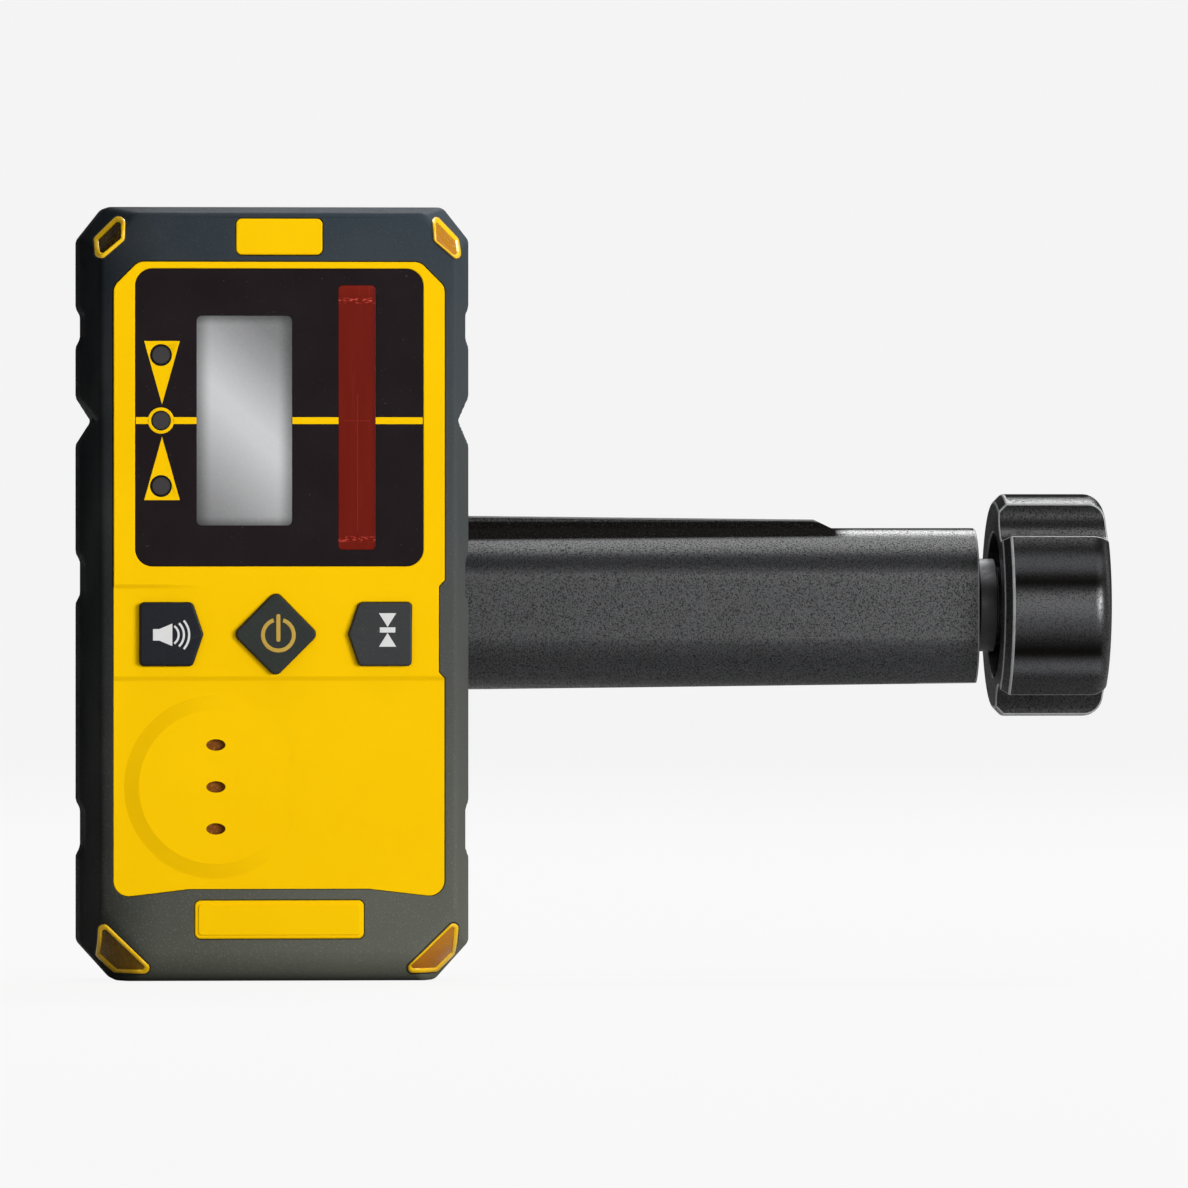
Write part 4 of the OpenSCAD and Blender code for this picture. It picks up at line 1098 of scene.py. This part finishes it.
TOP_INSERT = (0, 142.1, 16.5, 6.9)
LOW_INSERT = (0, 11.95, 32.3, 7.3)
INSERT_R = 1.1
INSERT_Y = FRONT_Y - 0.2
INSERT_T = 1.2
INSERT_EDGE_R = 0.3
# Raised middle of the lower insert, inside its bead
BEAD_W = 0.65
MIDDLE_LIFT = 0.2
MIDDLE_T = 0.6
MIDDLE_EDGE_R = 0.18


def inserts():
    for name, sizes in (("top_insert", TOP_INSERT), ("low_insert", LOW_INSERT)):
        plate(name, round_box(*sizes, INSERT_R), INSERT_Y, INSERT_T, INSERT_EDGE_R, "case_yellow")
    x, z, w, h = LOW_INSERT
    middle = round_box(x, z, w - 2 * BEAD_W, h - 2 * BEAD_W, INSERT_R - BEAD_W / 2)
    plate("low_insert_face", middle, INSERT_Y - MIDDLE_LIFT, MIDDLE_T, MIDDLE_EDGE_R, "case_yellow")


# Corner windows: width and height of each corner, and the window's points as shares of these

CORNERS = {
    "low": (14.1, 12.5, ((0.206, 0.4), (0.206, 1), (1, 0.136), (0.454, 0.136))),
    "top": (8.1, 11.2, ((0.296, 0.554), (0.296, 1), (0.963, 0.589), (1, 0.045))),
}
# Width of each frame's four sides
FRAME_WIDTHS = {
    "low_left": (0.72, 0.72, 0.72, 0.72), "top_left": (0.72, 0.72, 0.72, 0.72),
    "low_right": (0.9, 0.35, 0.85, 0.9), "top_right": (0.9, 0.4, 0.55, 0.9),
}
FRAME_R = 1
FRAME_INNER_R = 0.5
FRAME_PARTS = 20
# Section of a frame: share of its width, and height over the skin
FRAME_PROFILE = ((0, -0.5), (0, 0.1), (0.12, 0.24), (0.35, 0.32), (0.65, 0.32), (0.88, 0.24), (1, 0.1),
                 (1, -0.5))
# Section of a seat: distance out from the window, and height over the skin
SEAT_PROFILE = ((0.28, -0.3), (0.28, 0.04), (-0.1, 0.04), (-0.1, -0.3))
LENS_LIFT = 0.02
LENS_SINK = -0.4
LENS_OVERLAP = 0.05
LENS_RINGS = 10
# The facing of the skin is taken from points round a place
DRAPE_REACH = 0.6
DRAPE_POINTS = 8
DRAPE_START_Y = FRONT_Y - 10


class Drape:
    """Places points on a surface as seen from the front, lifted off it."""

    def __init__(self, mesh):
        self.tree = BVHTree.FromPolygons([v.co for v in mesh.vertices], [p.vertices for p in mesh.polygons])

    def hit(self, x, z):
        place, facing, *_ = self.tree.ray_cast(at(x, DRAPE_START_Y, z), Vector((0, 1, 0)))
        return place, facing

    def lay(self, points, lift):
        made = []
        for x, z in points:
            facing = Vector()
            for px, pz in circle(x, z, DRAPE_REACH, DRAPE_POINTS):
                facing += self.hit(px, pz)[1] or Vector()
            place = self.hit(x, z)[0] / MM + facing.normalized() * lift
            made.append(tuple(place))
        return made


def frame_outline(outline, grow, radius):
    return rounded(grown(outline, grow), [radius] * len(outline), straight=FRAME_PARTS)


def draped(name, place, look, drape, sections, closed=True):
    """Piece made of outlines laid on the housing's surface, each with its lift: a closed band, or a cap."""
    loft = Loft()
    rings = [loft.ring(drape.lay(points, lift)) for points, lift in sections]
    if closed:
        loft.bridge(*rings, rings[0])
    else:
        loft.bridge(*rings)
        loft.caps(rings)
    return shown(f"{name}_{place}", loft.mesh(name), look)


def corner_window(place, outline, drape):
    """Dark seat, raised frame and amber lens of a corner window."""
    widths = FRAME_WIDTHS[place]
    seat = [(frame_outline(outline, grow, FRAME_R + grow), lift) for grow, lift in SEAT_PROFILE]
    draped("corner_seat", place, "seal", drape, seat)
    bead = []
    for share, lift in FRAME_PROFILE:
        inset = [-share * w for w in widths]
        bead.append((frame_outline(outline, inset, mixed(FRAME_R, FRAME_INNER_R, share)), lift))
    draped("corner_frame", place, "frame_yellow", drape, bead)
    edge = frame_outline(outline, [LENS_OVERLAP - w for w in widths], FRAME_INNER_R)
    middle = sum((Vector(p) for p in edge), Vector((0, 0))) / len(edge)
    lens = [(edge, LENS_SINK)]
    lens += [([p.lerp(middle, k / LENS_RINGS) for p in edge], LENS_LIFT) for k in range(LENS_RINGS)]
    return draped("corner_lens", place, "amber", drape, lens, False)


def corner_windows(skin):
    drape = Drape(skin)
    lenses = []
    for end, (w, h, shares) in CORNERS.items():
        for side, name in ((-1, "left"), (1, "right")):
            outline = []
            for across, up in shares:
                z = up * h if end == "low" else HEIGHT - up * h
                outline.append((side * (HALF_W - across * w), z))
            lenses.append(corner_window(f"{end}_{name}", outline, drape))
    for lens in lenses:
        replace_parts(lens, "corner_lenses")


# Heads of the case screws, with a cross recess: (across, up) of each

CASE_SCREWS = [(x, z) for x in (-25, 25) for z in (14, 134)]
HEAD_R = 2.7
HEAD_Y = 13.7
HEAD_T = 0.75
HEAD_EDGE_R = 0.2
CROSS_HALF_W = 0.35
CROSS_REACH = 1.6


def cross_outline(x, z):
    quarter = [(CROSS_REACH, CROSS_HALF_W), (CROSS_HALF_W, CROSS_HALF_W), (CROSS_HALF_W, CROSS_REACH)]
    points = []
    for _ in range(4):
        points += quarter
        quarter = [(-up, across) for across, up in quarter]
    return [(x + across, z + up) for across, up in points]


def screw_heads():
    for i, (x, z) in enumerate(CASE_SCREWS):
        head = circle(x, z, HEAD_R)
        cross = cross_outline(x, z)
        plate(f"screw_head_{i}", head, HEAD_Y, HEAD_T, HEAD_EDGE_R, "steel", holes=[cross])


def faceplate():
    holes = [grown(panel_outline(), PANEL_GAP)]
    holes += [grown(key_outline(key), KEY_GAP) for key in KEYS]
    holes += sound_ovals()
    mesh = plate_mesh("faceplate", face_outline(), FACE_Y, FACE_T, FACE_EDGE_R, holes)
    piece = shown("faceplate", cut(mesh, terrace_tool()), "case_yellow", sharp=FACE_SHARP_ANGLE)
    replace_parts(piece, "front_shell")


def housing():
    holes = [face_outline(), round_box(*TOP_INSERT, INSERT_R), round_box(*LOW_INSERT, INSERT_R)]
    mesh = half_housing("front_skin", front_corners, FRONT_Y, SHOULDER_Y, EDGE_R, holes)
    corner_windows(mesh)
    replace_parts(shown("front_skin", mesh, "grip_skin", sharp=SKIN_SHARP_ANGLE), "front_bumper")
    land = cut_corners(LAND_HALF_W, LAND_LOW, LAND_TOP, LAND_CUT, LAND_CUT)
    mesh = half_housing("rear_skin", rear_corners, REAR_Y, REAR_SHOULDER_Y, REAR_EDGE_R, [land])
    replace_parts(shown("rear_skin", mesh, "grip_skin", sharp=SKIN_SHARP_ANGLE), "rear_bumper")
    faceplate()
    keys()
    sound_disc()
    inserts()
    screw_heads()


# Display panel with its windows, lamps and printing

PANEL_T = 1.3
PANEL_EDGE_R = 0.1
# Panes: CAD node, corner radius, depth below the node's front, rounding of the edge, look
PANES = {
    "lcd_glass": ("lcd_window", 1, 0, 0.06, "display_glass"),
    "red_glass": ("sensor_window", 0.8, 0.04, 0.08, "red_filter"),
}
LAMP_GAP = 0.03
HAIR_W = 0.11
HAIR_T = 0.05
HAIR_LIFT = 0.015
HAIR_EDGE_R = 0.01
# Hairlines as shares of the red window: width of the level one, height and drop of the plumb one
LEVEL_SHARE = 0.72
PLUMB_SHARE = 0.52
PLUMB_DROP_SHARE = 0.17
PLUMB_SHIFT = 0.1
PRINT_T = 0.04
PRINT_EDGE_R = 0.008
LINE_W = 1.3
LINE_OVERLAP = 0.1
LAMP_RING_R = 2.5
LAMP_RING_W = 0.6
# Triangles: far and near end from the centre line, corners and tip from the lamps' middle
ARROW_FAR = 15.15
ARROW_NEAR = 3.1
ARROW_LEFT = -3.2
ARROW_RIGHT = 3.6
ARROW_TIP = 0.2
ARROW_HOLE_R = 2.1


def display():
    lamp_low, lamp_high = box_mm("led_lenses")
    lamp_x = (lamp_low.x + lamp_high.x) / 2
    lamp_r = (lamp_high.x - lamp_low.x) / 2
    lamps = [lamp_low.z + lamp_r, (lamp_low.z + lamp_high.z) / 2, lamp_high.z - lamp_r]
    holes = [round_box(*front_box(node), radius) for node, radius, *_ in PANES.values()]
    holes += [circle(lamp_x, z, lamp_r + LAMP_GAP) for z in lamps]
    front = box_mm("display_panel")[0].y
    panel = plate("panel", panel_outline(), front, PANEL_T, PANEL_EDGE_R, "panel_black", holes=holes)
    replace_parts(panel, "display_panel")
    for name, (node, radius, sink, rounding, look) in PANES.items():
        low, high = box_mm(node)
        outline = round_box(*front_box(node), radius)
        pane = plate(name, outline, low.y + sink, high.y - low.y - sink, rounding, look)
        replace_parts(pane, node)
    hairlines()
    marks(front, lamp_x, lamps)


def hairlines():
    """Fine moulded cross on the red window: level line at its centre and plumb line below it."""
    x, z, w, h = front_box("sensor_window")
    front = box_mm("sensor_window")[0].y + PANES["red_glass"][2]
    spots = {
        "red_level": (x, LINE_Z, w * LEVEL_SHARE, HAIR_W),
        "red_plumb": (x + PLUMB_SHIFT, z - h * PLUMB_DROP_SHARE, HAIR_W, h * PLUMB_SHARE),
    }
    for name, sizes in spots.items():
        plate(name, box_outline(*sizes), front - HAIR_LIFT, HAIR_T, HAIR_EDGE_R, "red_line")


def marks(front, lamp_x, lamps):
    """Yellow printing: centre line, ring round the middle lamp and two triangles."""
    def printed(name, outline, holes=()):
        plate(name, outline, front - PRINT_T / 2, PRINT_T, PRINT_EDGE_R, "yellow_print", holes=holes)
    low, high = box_mm("display_panel")
    lcd, red = (front_box(node) for node in ("lcd_window", "sensor_window"))
    middle = lamps[1]
    reach = LAMP_RING_R - LINE_OVERLAP
    spans = [(low.x + LINE_OVERLAP, lamp_x - reach), (lamp_x + reach, lcd[0] - lcd[2] / 2),
             (lcd[0] + lcd[2] / 2, red[0] - red[2] / 2), (red[0] + red[2] / 2, high.x - LINE_OVERLAP)]
    for i, (left, right) in enumerate(spans):
        printed(f"centre_line_{i}", box_outline((left + right) / 2, middle, right - left, LINE_W))
    bore = circle(lamp_x, middle, LAMP_RING_R - LAMP_RING_W)
    printed("lamp_ring", circle(lamp_x, middle, LAMP_RING_R), [bore])
    for name, way, lamp_z in (("upper_arrow", 1, lamps[2]), ("lower_arrow", -1, lamps[0])):
        far = middle + way * ARROW_FAR
        near = middle + way * ARROW_NEAR
        corners = [(lamp_x + ARROW_LEFT, far), (lamp_x + ARROW_RIGHT, far), (lamp_x + ARROW_TIP, near)]
        printed(name, corners, [circle(lamp_x, lamp_z, ARROW_HOLE_R)])


# Icons on the keys

ICON_T = 0.06
ICON_EDGE_R = 0.02
SPEAKER_AT = (-20.5, 66.25)
SPEAKER = ((-3.7, -1.1), (-2.5, -1.1), (0, -2.15), (0, 2.15), (-2.5, 1.1), (-3.7, 1.1))
# Sound waves: radius and half angle
WAVES = ((2.05, 54), (3.05, 46), (4.05, 42))
WAVE_W = 0.42
WAVE_SHIFT = -0.85
POWER_AT = (-0.27, 66.2)
POWER_RING_R = 2.95
POWER_RING_W = 0.75
POWER_RING_GAP = 18
POWER_RING_STEPS = 48
POWER_BAR = (0.78, 5.3)
POWER_BAR_R = 0.38
POWER_BAR_RISE = 1.35
LEVEL_AT = (20.6, 67.15)
POINTER_HALF_W = 1.65
POINTER_FAR = 3.2
POINTER_NEAR = 0.55
LEVEL_BAR = (2.97, 1)


def icon_outlines():
    """Name, key, look and outline of each icon."""
    x, z = SPEAKER_AT
    yield "speaker_icon", "volume_button", "white_print", [(x + across, z + up) for across, up in SPEAKER]
    for i, (radius, half) in enumerate(WAVES):
        wave = arc_band(x + WAVE_SHIFT, z, radius, WAVE_W, -half, 2 * half)
        yield f"sound_wave_{i}", "volume_button", "white_print", wave
    x, z = POWER_AT
    ring = arc_band(x, z, POWER_RING_R, POWER_RING_W, 90 + POWER_RING_GAP, 360 - 2 * POWER_RING_GAP,
                    POWER_RING_STEPS)
    yield "power_ring", "power_button", "gold_print", ring
    yield "power_bar", "power_button", "gold_print", round_box(x, z + POWER_BAR_RISE, *POWER_BAR, POWER_BAR_R)
    x, z = LEVEL_AT
    for name, way in (("upper_pointer", 1), ("lower_pointer", -1)):
        far = z + way * POINTER_FAR
        corners = [(x - POINTER_HALF_W, far), (x + POINTER_HALF_W, far), (x, z + way * POINTER_NEAR)]
        yield name, "accuracy_button", "white_print", corners
    yield "level_bar", "accuracy_button", "white_print", box_outline(x, z, *LEVEL_BAR)


def icons():
    for name, key, look, outline in icon_outlines():
        front = box_mm(key)[0].y - ICON_T
        plate(name, outline, front, 2 * ICON_T, ICON_EDGE_R, look, body_of_node(key))


# Lead screw

THREAD_LEAD = 3
THREAD_DEPTH = 0.55
THREAD_SPAN = (46, 128)
THREAD_RUN_OUT = 2
THREAD_STEPS = 12
# Half of the root, and each flank, as shares of the lead
ROOT_SHARE = 0.12
FLANK_SHARE = 0.22
SCREW_SIDES = 28
SCREW_END = 0.6


def thread_depth(x, turn):
    """Depth of the left-hand thread at a place along the screw and a share of a turn round it."""
    start, end = THREAD_SPAN
    phase = (x / THREAD_LEAD + turn) % 1
    flank = smooth_step((abs(phase - 0.5) - ROOT_SHARE) / FLANK_SHARE)
    ends = min(smooth_step((x - start) / THREAD_RUN_OUT), smooth_step((end - x) / THREAD_RUN_OUT))
    return THREAD_DEPTH * (1 - flank) * ends


def lead_screw():
    low, high = box_mm("lead_screw")
    y, z, radius = (low.y + high.y) / 2, (low.z + high.z) / 2, (high.y - low.y) / 2
    loft = Loft()

    def ring(x, size):
        spots = []
        for i in range(SCREW_SIDES):
            turn = i / SCREW_SIDES
            r = size - thread_depth(x, turn)
            spots.append((x, y + r * math.cos(math.tau * turn), z + r * math.sin(math.tau * turn)))
        return loft.ring(spots)

    count = round((THREAD_SPAN[1] - THREAD_SPAN[0]) / THREAD_LEAD * THREAD_STEPS)
    rings = [ring(low.x, radius - SCREW_END), ring(low.x + SCREW_END, radius)]
    rings += [ring(mixed(*THREAD_SPAN, i / count), radius) for i in range(count + 1)]
    rings += [ring(high.x - SCREW_END, radius), ring(high.x, radius - SCREW_END)]
    loft.bridge(*rings)
    loft.caps(rings)
    piece = shown("lead_screw_form", loft.mesh("lead_screw_form"), "steel", body_of_node("lead_screw"))
    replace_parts(piece, "lead_screw")


housing()
display()
icons()
lead_screw()
for node, look, width, edge in ROUNDED_NODES:
    softened(node, look, width, edge)
for node, look in PLAIN_NODES.items():
    dress(node, look)

# Stage, light and camera

PAPER_GREY = (0.45, 0.45, 0.45)
PAPER_ROUGHNESS = 0.9
PAPER_GLOW = 0.9
SWEEP_FLOOR = 3900
SWEEP_RADIUS = 1500
SWEEP_TOP = 5000
SWEEP_STEPS = 16
SWEEP_TURNS = 96
WORLD_STRENGTH = 0.09
LAMP_AIM = (60, 0, 75)
# Lamps: place, width and height, and power in watts
LAMPS = {
    "key_light": ((1400, -1490, 300), (900, 560), 33),
    "front_light": ((620, -1850, 380), (900, 700), 4.6),
    "left_light": ((-1300, -1500, 500), (600, 600), 3.6),
    "right_light": ((1500, 420, 330), (500, 900), 2.2),
    "top_light": ((150, -100, 1300), (1000, 700), 7),
    "rear_light": ((500, 1300, 1500), (1200, 800), 28),
}
# Camera at the photograph's viewing angle
CAMERA_AZIMUTH = -5.2
CAMERA_ELEVATION = 0.3
CAMERA_DISTANCE = 3000
CAMERA_REACH = 20000
CAMERA_TARGET = (61.6, 0, 73.9)
CAMERA_LENS = 473.7
SENSOR_WIDTH = 36


def paper_look():
    """Pale paper: mostly its own colour towards the camera, so that it stays white, with the shadow on it."""
    look = Look("paper", PAPER_GREY, PAPER_ROUGHNESS, shine=0)
    glow = look.node("ShaderNodeEmission").outputs["Emission"]
    share = look.times(look.node("ShaderNodeLightPath").outputs["Is Camera Ray"], PAPER_GLOW)
    blend = look.node("ShaderNodeMixShader", {"Fac": share, 1: look.shader.outputs["BSDF"], 2: glow})
    look.feed(look.tree.nodes["Material Output"].inputs["Surface"], blend.outputs["Shader"])
    return look


def sweep():
    """Round floor that curves up into a wall on all sides."""
    profile = [(SWEEP_FLOOR + SWEEP_RADIUS * sine, SWEEP_RADIUS * (1 - cosine))
               for sine, cosine in quarter_turn(SWEEP_STEPS)]
    profile.append((SWEEP_FLOOR + SWEEP_RADIUS, SWEEP_TOP))
    loft = Loft()
    rings = [loft.ring([(x, y, z) for x, y in circle(0, 0, radius, SWEEP_TURNS)]) for radius, z in profile]
    loft.fill(rings[0])
    loft.bridge(*rings)
    mesh = loft.mesh("sweep")
    mesh.shade_smooth()
    mesh.materials.append(paper_look().material)
    linked("sweep", mesh)


def lamp(name, place, size, power):
    """Soft lamp that faces the object."""
    data = bpy.data.lights.new(name, "AREA")
    data.shape = "RECTANGLE"
    data.size, data.size_y = size[0] * MM, size[1] * MM
    data.energy = power
    made = linked(name, data)
    made.location = at(*place)
    made.rotation_euler = (at(*LAMP_AIM) - at(*place)).to_track_quat("-Z", "Y").to_euler()


def world_light():
    world = bpy.data.worlds.new("room")
    world.use_nodes = True
    background = world.node_tree.nodes["Background"]
    background.inputs["Color"].default_value = (1, 1, 1, 1)
    background.inputs["Strength"].default_value = WORLD_STRENGTH
    bpy.context.scene.world = world


def camera():
    data = bpy.data.cameras.new("camera")
    data.lens = CAMERA_LENS
    data.sensor_width = SENSOR_WIDTH
    data.clip_end = CAMERA_REACH * MM
    made = linked("camera", data)
    azimuth = math.radians(CAMERA_AZIMUTH)
    elevation = math.radians(CAMERA_ELEVATION)
    level = math.cos(elevation)
    back = Vector((math.sin(azimuth) * level, -math.cos(azimuth) * level, math.sin(elevation)))
    made.location = at(*CAMERA_TARGET) + back * CAMERA_DISTANCE * MM
    made.rotation_euler = back.to_track_quat("Z", "Y").to_euler()
    bpy.context.scene.camera = made


sweep()
world_light()
for name, settings in LAMPS.items():
    lamp(name, *settings)
camera()
bpy.context.scene.view_settings.view_transform = "Standard"
